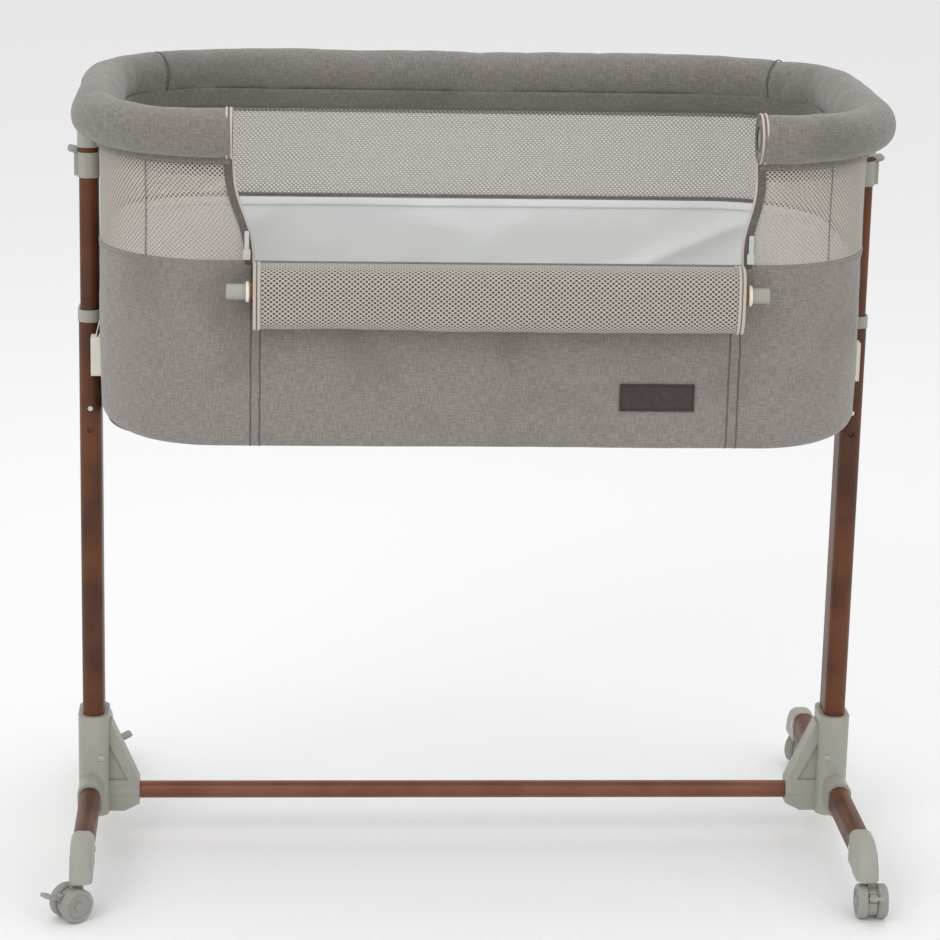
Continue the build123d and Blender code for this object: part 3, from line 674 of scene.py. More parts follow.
def join_grid(joined: bmesh.types.BMesh, part: bmesh.types.BMesh) -> None:
    """Adds a grid to a larger bmesh and frees it.

    Args:
        joined: the bmesh that grows.
        part: the grid to add.
    """
    passing = bpy.data.meshes.new("passing")
    part.to_mesh(passing)
    part.free()
    joined.from_mesh(passing)
    bpy.data.meshes.remove(passing)


def cloth_area(piece: bpy.types.Object) -> float:
    """Area of a piece's faces before its live modifiers, in square metres."""
    return sum(face.area for face in piece.data.polygons)


def ripple(place: Vector, scale: float, seed: float) -> float:
    """Smooth noise between about -1 and 1.

    Args:
        place: where it is read.
        scale: features per metre.
        seed: shifts the noise, so that two ripples differ.

    Returns:
        The noise at that place.
    """
    return noise.noise(place * scale + Vector((seed, seed * 1.7, seed * 0.3)))


@dataclass(frozen=True)
class RoundedLoop:
    """A rounded rectangle in plan, measured along from the middle of the drop side."""

    half_x: float
    half_y: float
    corner: float

    @property
    def length(self) -> float:
        """All the way round."""
        flat = 4 * (self.half_x + self.half_y - 2 * self.corner)
        return flat + 2 * math.pi * self.corner

    def at(self, run: float) -> tuple[Vector, Vector]:
        """The point and the outward direction at a distance along.

        Args:
            run: the distance from the drop side's middle, towards +X first.

        Returns:
            The point in plan and the outward unit vector.
        """
        run %= self.length
        flat_x, flat_y = self.half_x - self.corner, self.half_y - self.corner
        bend = 0.5 * math.pi * self.corner
        heading = 0.0
        spot = Vector((0.0, -self.half_y, 0.0))
        for step, straight in enumerate((flat_x, 2 * flat_y, 2 * flat_x, 2 * flat_y, flat_x)):
            ahead = Vector((math.cos(heading), math.sin(heading), 0.0))
            out = Vector((math.sin(heading), -math.cos(heading), 0.0))
            if run <= straight or step == 4:
                return spot + ahead * run, out
            run -= straight
            spot += ahead * straight
            if run <= bend:
                turn = run / self.corner
                centre = spot - out * self.corner
                swung = Matrix.Rotation(turn, 3, "Z") @ out
                return centre + swung * self.corner, swung
            run -= bend
            spot += (ahead - out) * self.corner
            heading += 0.5 * math.pi
        raise ValueError("the loop is shorter than its own length")

    def inset(self, amount: float) -> "RoundedLoop":
        """The loop moved inwards by an amount."""
        return RoundedLoop(self.half_x - amount, self.half_y - amount, self.corner - amount)


def inflated(piece: bpy.types.Object, pressure: float, cap: float, pinned: Callable[[Vector], bool]) -> None:
    """Blows a padded piece up with the cloth solver and keeps the result in its mesh.

    Args:
        piece: a closed mesh.
        pressure: the air's pressure.
        cap: how far a point may move.
        pinned: says which points the seams hold.
    """
    rest = [vert.co.copy() for vert in piece.data.vertices]
    group = piece.vertex_groups.new(name="seams")
    group.add([spot for spot, co in enumerate(rest) if pinned(co)], 1.0, "REPLACE")
    solver = piece.modifiers.new("padding", "CLOTH")
    cloth = solver.settings
    cloth.quality = 4
    cloth.mass = 0.3
    cloth.tension_stiffness = 18.0
    cloth.compression_stiffness = 18.0
    cloth.shear_stiffness = 8.0
    cloth.bending_stiffness = 1.5
    cloth.use_pressure = True
    cloth.uniform_pressure_force = pressure
    cloth.vertex_group_mass = group.name
    cloth.effector_weights.gravity = 0.0
    cloth.shrink_min = -0.03
    scene = bpy.context.scene
    for frame in range(1, 19):
        scene.frame_set(frame)
    blown = piece.evaluated_get(bpy.context.evaluated_depsgraph_get()).to_mesh()
    moved = [vert.co.copy() for vert in blown.vertices]
    piece.modifiers.remove(solver)
    piece.vertex_groups.remove(group)
    for vert, start, end in zip(piece.data.vertices, rest, moved, strict=True):
        shift = end - start
        if shift.length > cap:
            shift *= cap / shift.length
        vert.co = start + shift
    scene.frame_set(1)


# --------------------------------------------------------------------------------- basket
@dataclass
class Basket:
    """Padded rim, mesh walls, skirt, lining, floor and mattress."""

    palette: Palette
    pad_radius: float = 27.0 * MM
    border_height: float = 0.758
    hem_height: float = 0.866
    hem_top: float = 0.8755
    open_left: float = -0.281
    open_right: float = 0.288
    low_left: float = -0.259
    low_right: float = 0.278
    rim: RoundedLoop = field(init=False)
    wall: RoundedLoop = field(init=False)

    def __post_init__(self) -> None:
        """Reads the rim's and the walls' sizes from the CAD frame."""
        tube_low, tube_high = cad_box("rim_tube")
        tube_radius = 0.5 * (tube_high.z - tube_low.z)
        self.rim_height = 0.5 * (tube_high.z + tube_low.z)
        half_x = tube_high.x - tube_radius
        half_y = tube_high.y - tube_radius
        corner = half_x - cad_box("rim_pad_back")[1].x
        self.rim = RoundedLoop(half_x, half_y, corner)
        _, skirt_high = cad_box("skirt_right")
        self.wall = RoundedLoop(skirt_high.x, skirt_high.y, corner + skirt_high.x - half_x)

    # -- rim
    def rim_runs(self) -> tuple[float, float]:
        """Distances along the rim's centreline of the right and the left tip."""
        return self.open_right, self.rim.length + self.open_left

    def rim_joints(self) -> tuple[float, float]:
        """Distances along the rim of the cover's two sewn joints, in the back bends."""
        straight = self.rim.half_x - self.rim.corner
        quarter = 0.5 * math.pi * self.rim.corner
        run = straight + 2 * quarter + 2 * (self.rim.half_y - self.rim.corner) - 82 * MM
        return run, self.rim.length - run

    def make_rim(self) -> None:
        """The padded cover: a soft tube with gathers at its bends and sewn joints."""
        first, last = self.rim_runs()
        joints = self.rim_joints()

        def shape(along: float, round_share: float) -> Vector:
            run = first + along * (last - first)
            spot, out = self.rim.at(run)
            angle = 2 * math.pi * round_share
            flat = UP * math.sin(angle) + out * math.cos(angle)
            place = spot + UP * self.rim_height + flat * self.pad_radius
            swell = 0.9 * MM * ripple(place, 11.0, 3.0) + 0.4 * MM * ripple(place, 34.0, 8.0)
            tension = 0.75 + 0.5 * min(abs(out.x * out.y) * 4, 1.0)
            twist = Vector((run * 1.0 + 0.012 * math.sin(angle), 0.02 * math.cos(angle), 0.0))
            swell += 1.5 * MM * ripple(twist, 30.0, 4.0) * tension * (0.6 - 0.4 * math.cos(angle))
            pinch = sum(math.exp(-(((run - joint) / (3.5 * MM)) ** 2)) for joint in joints)
            near_tip = min(run - first, last - run)
            tip = math.exp(-((near_tip / (9 * MM)) ** 2))
            radius = self.pad_radius + swell - 1.6 * MM * pinch - 0.8 * MM * tip
            return spot + UP * self.rim_height + flat * radius

        girth = 2 * math.pi * self.pad_radius
        bm = shaped_grid(420, 30, shape, (last - first, girth), lambda _: True)
        cover = as_piece("rim_padding", bm, self.palette.rim)
        low = self.rim_height - self.pad_radius * 0.8
        inflated(cover, 1.2, 3.5 * MM, lambda co: co.z < low)
        smooth = cover.modifiers.new("soft", "SUBSURF")
        smooth.levels = smooth.render_levels = 1
        settled(cover, "basket", "rim_cloth", "rim_pad_back", "rim_pad_left", "rim_pad_right")

    def make_hem(self) -> None:
        """The sewn band under the rim that holds the mesh."""
        first, last = self.rim_runs()
        wall_first = self.open_right + 2 * MM

        def shape(along: float, up: float) -> Vector:
            run = wall_first + along * (last - 2 * MM - wall_first)
            spot, out = self.rim.at(run)
            height = self.hem_height + up * (self.hem_top - self.hem_height)
            gather = 0.35 * MM * ripple(spot, 120.0, 2.0)
            return spot + out * (2.2 * MM + gather) + UP * height

        bm = shaped_grid(300, 3, shape, (last - first, self.hem_top - self.hem_height))
        sewn("rim_hem", bm, self.palette.rim, "rim_cloth", 5.0 * MM)

    def make_facing(self) -> None:
        """The cover's inner edge, drawn down to the mesh in soft creases."""
        first, last = self.rim_runs()
        inner = self.wall.inset(3.2 * MM)

        def shape(along: float, up: float) -> Vector:
            run = first + 3 * MM + along * (last - first - 6 * MM)
            spot, out = self.rim.at(run)
            foot, _ = inner.at(run * inner.length / self.rim.length)
            foot.z = 0.8572
            angle = math.radians(222)
            head = spot + out * math.cos(angle) * (self.pad_radius - 1 * MM)
            head.z = self.rim_height + math.sin(angle) * (self.pad_radius - 1 * MM)
            arch = math.sin(math.pi * up)
            crease = 2.2 * MM * ripple(Vector((run + 0.012 * up, 0.0, 2.0)), 26.0, 6.0) * arch
            return foot.lerp(head, up) - out * (1.5 * MM * arch + crease)

        bm = shaped_grid(420, 6, shape, (last - first, 30 * MM))
        facing = as_piece("rim_facing", bm, self.palette.rim)
        declare_sheet(facing, (last - first, FACING_CUT_HEIGHT))
        thicken(facing, 1.2 * MM, 0.0)
        settled(facing, "basket", "rim_cloth")

    def make_rim_seams(self) -> None:
        """Thin seams where the rim's cover is joined, darkened with painted shade of their grooves."""
        joined = bmesh.new()
        for joint in self.rim_joints():

            def shape(turn: float, across: float, joint: float = joint) -> Vector:
                spot, out = self.rim.at(joint + (across - 0.5) * 2.4 * MM)
                angle = 2 * math.pi * turn
                radius = self.pad_radius - 1.2 * MM + 1.0 * MM * math.sin(math.pi * across)
                flat = out * math.cos(angle) + UP * math.sin(angle)
                return spot + UP * self.rim_height + flat * radius

            join_grid(joined, shaped_grid(56, 4, shape, (0.17, 2.4 * MM)))
        sewn("rim_seams", joined, self.palette.seam, "rim_cloth", 0.8 * MM)

    # -- walls
    def edge_x(self, side: Side, height: float) -> float:
        """Where the drop side's edge lies at a height.

        Args:
            side: which edge.
            height: the height.

        Returns:
            The edge's place along X.
        """
        share = (height - self.border_height) / (self.hem_height - self.border_height)
        bow = 3.0 * MM * math.sin(2 * math.pi * min(max(share, 0.0), 1.0))
        if side is Side.LEFT:
            return self.low_left + share * (self.open_left - self.low_left) + bow
        return self.low_right + share * (self.open_right - self.low_right) - bow

    def make_walls(self) -> None:
        """The see-through mesh from edge to edge of the drop side."""
        loop = self.wall.inset(1.2 * MM)

        def shape(along: float, up: float) -> Vector:
            height = self.border_height - 2 * MM + up * (self.hem_height + 4 * MM - self.border_height)
            first = self.edge_x(Side.RIGHT, height)
            last = loop.length + self.edge_x(Side.LEFT, height)
            spot, out = loop.at(first + along * (last - first))
            height -= (1 - up) * (self.border_height - self.border_at(spot))
            sag = 1.2 * MM * math.sin(math.pi * up) * (0.7 + 0.5 * ripple(spot, 6.0, 1.0))
            return spot - out * sag + UP * height

        bm = shaped_grid(360, 16, shape, (loop.length - 0.53, self.hem_height - self.border_height))
        walls = as_piece("mesh_walls", bm, self.palette.mesh)
        declare_sheet(walls, (loop.length - 0.5, MESH_CUT_HEIGHT))
        thicken(walls, 0.8 * MM, 0.0)
        settled(walls, "basket", "mesh_cloth", "mesh_wall_back", "mesh_wall_left", "mesh_wall_right")

    def make_mesh_band(self) -> None:
        """The doubled strip of mesh just under the rim, on the inside."""
        loop = self.wall.inset(2.6 * MM)

        def shape(along: float, up: float) -> Vector:
            height = 0.8525 + up * 0.006
            first = self.edge_x(Side.RIGHT, height) + 4 * MM
            last = loop.length + self.edge_x(Side.LEFT, height) - 4 * MM
            spot, _ = loop.at(first + along * (last - first))
            return spot + UP * height

        bm = shaped_grid(300, 2, shape, (loop.length - 0.53, 0.006))
        sewn("mesh_band", bm, self.palette.mesh_band, "mesh_cloth", 0.6 * MM, 0.0)

    def make_mesh_seams(self) -> None:
        """Upright seams of the mesh at its four corners."""
        joined = bmesh.new()
        bend = self.wall.half_x - self.wall.corner + 82 * MM
        half = 0.5 * self.wall.length
        for middle in (bend, -bend, half + bend, half - bend):

            def shape(up: float, across: float, middle: float = middle) -> Vector:
                spot, out = self.wall.at(middle + (across - 0.5) * 1.6 * MM)
                height = self.border_at(spot) + up * (self.hem_height + 2 * MM - self.border_at(spot))
                sag = 1.0 * MM * math.sin(math.pi * up)
                return spot + out * (0.5 * MM * math.sin(math.pi * across) - sag) + UP * height

            join_grid(joined, shaped_grid(30, 3, shape, (0.11, 2.6 * MM)))
        sewn("mesh_seams", joined, self.palette.skirt, "mesh_cloth", 0.8 * MM)

    # -- skirt
    def border_at(self, spot: Vector) -> float:
        """Height of the skirt's border, a little lower behind."""
        share = min(max((spot.y + 0.1) / 0.28, 0.0), 1.0)
        return self.border_height - 8 * MM * share * share * (3 - 2 * share)

    def skirt_point(self, run: float, down: float, lift: float = 0.0) -> Vector:
        """A point on the skirt's outer face.

        Args:
            run: distance along the wall's loop.
            down: cloth distance from the border towards the floor.
            lift: how far outside the face.

        Returns:
            The point.
        """
        low = cad_box("skirt_bottom")[0].z
        spot, out = self.wall.at(run)
        top = self.border_at(spot)
        turn_radius = 10 * MM + 14 * MM * abs(out.x) ** 2
        flat = top - low - turn_radius
        soft = 1.3 * MM * ripple(spot + Vector((0, 0, down * 0.6)), 9.0, 5.0)
        soft += 0.5 * MM * ripple(spot + UP * down, 40.0, 1.0)
        edge = min(down / (12 * MM), 1.0)
        belly = 1.2 * MM * math.sin(math.pi * min(down / flat, 1.0)) - 1.6 * MM
        off = min((soft + belly) * edge, 0.1 * MM) + lift
        if down <= flat:
            return spot + out * off + Vector((0, 0, top - down))
        angle = min((down - flat) / turn_radius, 0.5 * math.pi)
        inward = turn_radius - (turn_radius + off) * math.cos(angle)
        drop = (turn_radius + off * 0.4) * math.sin(angle)
        beyond = max(down - flat - 0.5 * math.pi * turn_radius, 0.0)
        return spot - out * (inward + beyond) + Vector((0, 0, low + turn_radius - drop))

    def make_skirt(self) -> None:
        """The taupe cloth skirt, turned under the floor."""
        low = cad_box("skirt_bottom")[0].z
        depth = self.border_height - low + 32 * MM

        def shape(along: float, down: float) -> Vector:
            return self.skirt_point((along + 0.5) * self.wall.length, down * depth)

        bm = shaped_grid(340, 44, shape, (self.wall.length, depth))
        skirt = as_piece("skirt", bm, self.palette.skirt)
        declare_sheet(skirt, (self.wall.length, depth))
        thicken(skirt, 1.6 * MM, -1.0)
        settled(skirt, "basket", "skirt_cloth", "skirt_front", "skirt_back", "skirt_left", "skirt_right")

    def make_skirt_seams(self) -> None:
        """Double seams beside the drop side, and their twins at the back: thin strips coloured with painted
        shade of the seams' grooves.
        """
        low = cad_box("skirt_bottom")[0].z
        depth = self.border_height - low + 26 * MM
        joined = bmesh.new()
        half = 0.5 * self.wall.length
        for middle in (*FRONT_SEAMS, *(half + seam for seam in BACK_SEAMS)):

            def shape(down: float, across: float, middle: float = middle) -> Vector:
                waver = 0.5 * MM * ripple(Vector((middle, down, 0)), 14.0, 3.0)
                run = middle + (across - 0.5) * 2.2 * MM + waver
                swell = 0.9 * MM * math.sin(math.pi * across) - 0.1 * MM
                return self.skirt_point(run, 5 * MM + down * depth, swell)

            join_grid(joined, shaped_grid(90, 4, shape, (depth, 2.6 * MM)))
        sewn("skirt_seams", joined, self.palette.seam, "skirt_cloth", 0.8 * MM)

    def make_border(self) -> None:
        """Rolled seam where the mesh meets the skirt."""

        def shape(along: float, round_share: float) -> Vector:
            spot, out = self.wall.at((along + 0.5) * self.wall.length)
            angle = 2 * math.pi * round_share
            up = Vector((0, 0, self.border_at(spot) + 0.6 * MM + 2.0 * MM * math.sin(angle)))
            return spot + out * (1.1 * MM * math.cos(angle) - 0.9 * MM) + up

        bm = shaped_grid(340, 8, shape, (self.wall.length, 9 * MM))
        sewn("skirt_border", bm, self.palette.skirt, "skirt_cloth")

    # -- inside
    def lining_point(self, run: float, down: float, lift: float = 0.0) -> Vector:
        """A point on the lining's inner face, with the cloth's slack folds.

        Args:
            run: distance along the loop.
            down: distance below the lining's top.
            lift: how far inside the face.

        Returns:
            The point.
        """
        low, high = cad_box("lining")
        loop = self.wall.inset(5.0 * MM)
        spot, out = loop.at(run * loop.length / self.wall.length)
        curve = 20 * MM
        flat = high.z - low.z - 1 * MM - curve
        slant = Vector((spot.x * 0.7 + down * 1.2, spot.y, spot.x * 0.2 - down * 0.7))
        ridge = 1 - abs(ripple(slant, 7.0, 6.0)) * 2.6
        fold = 10.0 * MM * max(ridge, 0.0) ** 2 + 2.0 * MM * ripple(slant, 22.0, 9.0)
        fold *= min(down / (30 * MM), 1.0)
        inward = max(fold + 1.0 * MM, 0.4 * MM) + lift
        if down <= flat:
            return spot - out * inward + Vector((0, 0, high.z - down))
        angle = min((down - flat) / curve, 0.5 * math.pi)
        beyond = max(down - flat - 0.5 * math.pi * curve, 0.0)
        inward += curve * (1 - math.cos(angle)) + beyond
        return spot - out * inward + Vector((0, 0, high.z - flat - curve * math.sin(angle)))

    def make_lining(self) -> None:
        """White lining with its turned hem, down to the floor under the mattress."""
        low, high = cad_box("lining")
        depth = high.z - low.z + 48 * MM

        def shape(along: float, down: float) -> Vector:
            return self.lining_point((along + 0.5) * self.wall.length, down * depth)

        def band(along: float, down: float) -> Vector:
            return self.lining_point((along + 0.5) * self.wall.length, down * 10 * MM, 0.9 * MM)

        bm = shaped_grid(300, 40, shape, (self.wall.length, depth), lambda co: co.z < high.z - 50 * MM)
        cloth = as_piece("lining_walls", bm, self.palette.lining)
        declare_sheet(cloth, LINING_CUT)
        settled(cloth, "basket", "lining_cloth", "lining")
        hem = shaped_grid(300, 3, band, (self.wall.length, 10 * MM))
        sewn("lining_hem", hem, self.palette.mattress, "lining_cloth", 0.8 * MM, 0.0)

    def make_floor_cloth(self) -> None:
        """Pale cloth under the basket, bulging a little under the board."""
        low = cad_box("skirt_bottom")[0].z

        def shape(along: float, inwards: float) -> Vector:
            loop = self.wall.inset(16 * MM)
            spot, out = loop.at(along * loop.length)
            keep = 1 - inwards
            sag = 4.0 * MM * math.sin(0.5 * math.pi * min(inwards * 3, 1.0)) - 1.5 * MM
            sag += 0.8 * MM * ripple(spot * keep, 10.0, 4.0) * min(inwards * 5, 1.0)
            return Vector((spot.x * keep, spot.y * keep, low + 2.0 * MM - sag))

        bm = shaped_grid(200, 14, shape, (2.2, 0.22))
        cloth = as_piece("floor_cloth", bm, self.palette.floor_cloth)
        declare_sheet(cloth, FLOOR_CUT)
        settled(cloth, "basket", "floor_cloth", "skirt_bottom")

    def make_mattress(self) -> None:
        """Thin quilted mattress with a rounded edge, blown up by the solver."""
        low, high = cad_box("mattress")
        middle = 0.5 * (low + high)
        loop = RoundedLoop(0.5 * (high.x - low.x) - 2 * MM, 0.5 * (high.y - low.y) - 2 * MM, 0.108)
        half = 0.5 * (high.z - low.z) - 1.5 * MM
        quilt_pitch = 0.1

        def shape(along: float, over: float) -> Vector:
            """From the middle of the underside, round the edge, to the middle of the top."""
            spot, _ = loop.at(along * loop.length)
            angle = (over - 0.5) * math.pi
            keep = min(1.0, 2.6 * min(over, 1 - over)) ** 0.8
            rise = half * max(-1.0, min(1.0, 2.2 * math.sin(angle)))
            round_off = 1 - 0.018 * (abs(rise) / half) ** 4
            turn = 2 * math.pi / quilt_pitch
            dimple = 1.6 * MM * math.cos(spot.x * keep * turn) * math.cos(spot.y * keep * turn)
            dimple *= 1.0 if over > 0.62 else 0.0
            width = keep * round_off
            return Vector((spot.x * width, spot.y * width, middle.z + rise - 1.6 * MM + dimple))

        bm = shaped_grid(220, 60, shape, (loop.length, 0.5))
        pad = as_piece("mattress_cover", bm, self.palette.mattress)
        inflated(pad, 0.4, 1.4 * MM, lambda co: co.z < low.z + 3 * MM)
        settled(pad, "mattress_pad", "mattress_cloth", "mattress")

    def make(self) -> None:
        """Makes every cloth piece of the basket."""
        self.make_rim()
        self.make_hem()
        self.make_facing()
        self.make_rim_seams()
        self.make_walls()
        self.make_mesh_band()
        self.make_mesh_seams()
        self.make_skirt()
        self.make_skirt_seams()
        self.make_border()
        self.make_lining()
        self.make_floor_cloth()
        self.make_mattress()


# ------------------------------------------------------------------------------ drop side
@dataclass
class DropSide:
    """Rolled front panel, its tapes, the zip bindings and the rim's end rings."""

    palette: Palette
    basket: Basket

    def __post_init__(self) -> None:
        """Reads the roll's box."""
        self.low, self.high = cad_box("front_panel_roll")
        self.join_y = -self.basket.wall.half_y - 0.6 * MM
        self.back_y = self.join_y - 5.0 * MM

    def roll_point(self, across: float, along: float, lift: float = 0.0) -> Vector:
        """A point on the roll's cloth.

        Args:
            across: the place along X.
            along: from 0, sewn to the skirt's border, to 1, tucked in at the back.
            lift: how far outside the cloth.

        Returns:
            The point.
        """
        half_y = 0.5 * (self.back_y - self.low.y) - 1.6 * MM
        half_z = 0.5 * (self.high.z - self.low.z) - 2.6 * MM
        centre_y, centre_z = self.back_y - half_y - 0.4 * MM, 0.5 * (self.high.z + self.low.z)
        bridge = 0.1
        start_angle = math.radians(58)
        if along < bridge:
            share = along / bridge
            top = centre_z + half_z * math.sin(start_angle)
            end_y = centre_y + half_y * math.cos(start_angle)
            rise = self.basket.border_height + 0.5 * MM
            place_y = self.join_y + share * (end_y - self.join_y)
            return Vector((across, place_y, rise + share * (top - rise) + lift))
        angle = start_angle + (along - bridge) / (1 - bridge) * math.radians(325)
        out = Vector((0.0, math.cos(angle), math.sin(angle)))
        slant = Vector((across * 0.8 + out.z * 0.05, out.z * 0.03, across * 0.2))
        calm = min((across - self.low.x) / 0.05, (self.high.x - across) / 0.05, 1.0)
        fold = (1.5 * MM * ripple(slant, 15.0, 2.0) + 0.7 * MM * ripple(slant, 45.0, 7.0)) * max(calm, 0.25)
        fold += 0.8 * MM * math.sin(across * 9.0)
        squareness = 1 + 0.10 * math.sin(2 * angle) ** 2
        grow = min(fold, 1.6 * MM) - 0.8 * MM + lift
        return Vector((
            across,
            min(centre_y + (half_y * squareness + grow) * out.y, self.back_y),
            centre_z + (half_z * squareness + grow) * out.z,
        ))

    def across_blend(self, piece: bpy.types.Object) -> None:
        """Bakes a piece's placement into its mesh; the start and end points of a stretch from the basket's
        border to the rail are made but not used.
        """
        start, end = (0, self.join_y, 0.75), (0, self.back_y + 0.4 * MM, 0.75)
        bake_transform(piece)
        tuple(start)
        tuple(end)

    def make_panel(self) -> None:
        """The coarse mesh panel, rolled over the rail, with a dark cloth behind it."""
        left, right = self.low.x + 1 * MM, self.high.x - 1 * MM

        def outer(along: float, share: float) -> Vector:
            return self.roll_point(left + along * (right - left), share)

        def inner(along: float, share: float) -> Vector:
            return self.roll_point(left + along * (right - left), share, -1.2 * MM)

        for name, shape, finish in (
            ("front_panel", outer, self.palette.panel),
            ("front_panel_backing", inner, self.palette.panel_core),
        ):
            piece = as_piece(name, shaped_grid(220, 110, shape, (right - left, 0.25)), finish)
            declare_sheet(piece, (right - left, PANEL_CUT_LENGTH))
            self.across_blend(piece)
            if shape is outer:
                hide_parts("front_panel_roll")
        log.info("front panel made")

    def make_panel_ends(self) -> None:
        """Zip tapes bound over both ends of the panel, and the discs that close the roll's ends."""
        for side in Side:
            edge = self.low.x if side is Side.LEFT else self.high.x
            for word, start, width, lift, finish in (
                ("tape_outer", 0.0, 3.4 * MM, 0.9 * MM, self.palette.tape),
                ("tape_inner", 4.6 * MM, 3.4 * MM, 0.9 * MM, self.palette.tape),
                ("tape_base", 0.6 * MM, 7.4 * MM, 0.3 * MM, self.palette.binding),
            ):

                def shape(
                    along: float,
                    share: float,
                    start: float = start,
                    width: float = width,
                    lift: float = lift,
                    edge: float = edge,
                    side: Side = side,
                ) -> Vector:
                    crown = lift + 0.5 * MM * math.sin(math.pi * along)
                    return self.roll_point(edge - side.value * (start + along * width), share, crown)

                bm = shaped_grid(3, 110, shape, (width, 0.25))
                piece = as_piece(f"panel_{word}_{side.word}", bm, finish)
                thicken(piece, 0.8 * MM)
                self.across_blend(piece)
            self.make_end_disc(side, edge)

    def make_end_disc(self, side: Side, edge: float) -> None:
        """Folded layers that close one end of the roll."""

        def shape(turn: float, inwards: float) -> Vector:
            rim_point = self.roll_point(edge - side.value * 1.5 * MM, 0.1 + 0.9 * turn, -0.6 * MM)
            centre = Vector((rim_point.x, 0.5 * (self.low.y + self.back_y), 0.5 * (self.low.z + self.high.z)))
            spot = rim_point.lerp(centre, 0.86 * inwards)
            layers = 2.5 * MM + 2.0 * MM * math.cos(inwards * 6 * math.pi)
            spot.x -= side.value * layers * min(inwards * 6, 1.0)
            return spot

        bm = shaped_grid(60, 18, shape, (0.2, 0.04))
        disc = as_piece(f"roll_end_{side.word}", bm, self.palette.panel_core)
        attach(disc, "drop_rail")

    def make_rail_rings(self) -> None:
        """Pale rings pressed over the rail's ends."""
        low, high = cad_box("front_rail")
        middle = 0.5 * (low + high)
        rail_radius = 0.5 * (high.z - low.z)
        for side in Side:
            edge = low.x if side is Side.LEFT else high.x

            def shape(turn: float, across: float, edge: float = edge, side: Side = side) -> Vector:
                angle = 2 * math.pi * turn
                radius = rail_radius + 0.25 * MM + 0.9 * MM * math.sin(math.pi * across)
                place = Vector((edge - side.value * (4.2 - 4.0 * across) * MM, middle.y, middle.z))
                return place + Vector((0, math.cos(angle), math.sin(angle))) * radius

            bm = shaped_grid(40, 5, shape, (0.066, 0.004))
            ring = as_piece(f"rail_ring_{side.word}", bm, self.palette.cream)
            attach(ring, "drop_rail")

    def make_bindings(self) -> None:
        """Dark bindings and light zip tapes up both edges of the opening."""
        base = self.basket
        for side in Side:
            for word, start, width, lift, finish in (
                ("binding", -1.0 * MM, 9.5 * MM, 0.9 * MM, self.palette.binding),
                ("zip_edge", -3.2 * MM, 3.0 * MM, 1.5 * MM, self.palette.tape),
            ):

                def shape(
                    across: float,
                    up: float,
                    start: float = start,
                    width: float = width,
                    lift: float = lift,
                    side: Side = side,
                ) -> Vector:
                    rise = base.hem_height + 6 * MM - base.border_height
                    height = base.border_height - 1 * MM + up * rise
                    edge = base.edge_x(side, height) + side.value * (start + across * width)
                    spot, out = base.wall.at(edge)
                    return spot + out * (lift + 0.5 * MM * math.sin(math.pi * across)) + UP * height

                bm = shaped_grid(4, 30, shape, (width, 0.11))
                sewn(f"{word}_{side.word}", bm, finish, "rim_cloth", 2.0 * MM)

    def make_rim_ends(self) -> None:
        """Zip rings round the padding's open ends, and the dark cloth inside them."""
        base = self.basket
        for side in Side:
            tip = base.open_left if side is Side.LEFT else base.open_right
            for word, start, width, grow, finish in (
                ("ring_outer", -0.4 * MM, 3.0 * MM, 0.6 * MM, self.palette.tape),
                ("ring_inner", 4.6 * MM, 2.6 * MM, 0.9 * MM, self.palette.tape),
                ("ring_base", 2.0 * MM, 3.2 * MM, 0.2 * MM, self.palette.binding),
            ):

                def shape(
                    turn: float,
                    across: float,
                    start: float = start,
                    width: float = width,
                    grow: float = grow,
                    tip: float = tip,
                    side: Side = side,
                ) -> Vector:
                    run = tip + side.value * (start + across * width)
                    spot, out = base.rim.at(run)
                    angle = 2 * math.pi * turn
                    radius = base.pad_radius - 0.6 * MM + grow + 0.7 * MM * math.sin(math.pi * across)
                    flat = out * math.cos(angle) + UP * math.sin(angle)
                    return spot + UP * base.rim_height + flat * radius

                bm = shaped_grid(56, 4, shape, (0.17, width))
                sewn(f"rim_{word}_{side.word}", bm, finish, "rim_cloth", 1.0 * MM)

            def mouth(turn: float, inwards: float, tip: float = tip, side: Side = side) -> Vector:
                angle = 2 * math.pi * turn
                radius = (1 - inwards) * (base.pad_radius - 1.0 * MM) + inwards * 13.4 * MM
                depth = -0.6 * MM + 2.2 * MM * math.sin(math.pi * inwards)
                spot = Vector((tip + side.value * depth, -base.rim.half_y, base.rim_height))
                return spot + Vector((0, math.cos(angle), math.sin(angle))) * radius

            disc = shaped_grid(56, 8, mouth, (0.17, 0.015))
            sewn(f"rim_mouth_{side.word}", disc, self.palette.binding, "rim_cloth")

    def make(self) -> None:
        """Makes every cloth piece of the drop side."""
        self.make_panel()
        self.make_panel_ends()
        self.make_rail_rings()
        self.make_bindings()
        self.make_rim_ends()


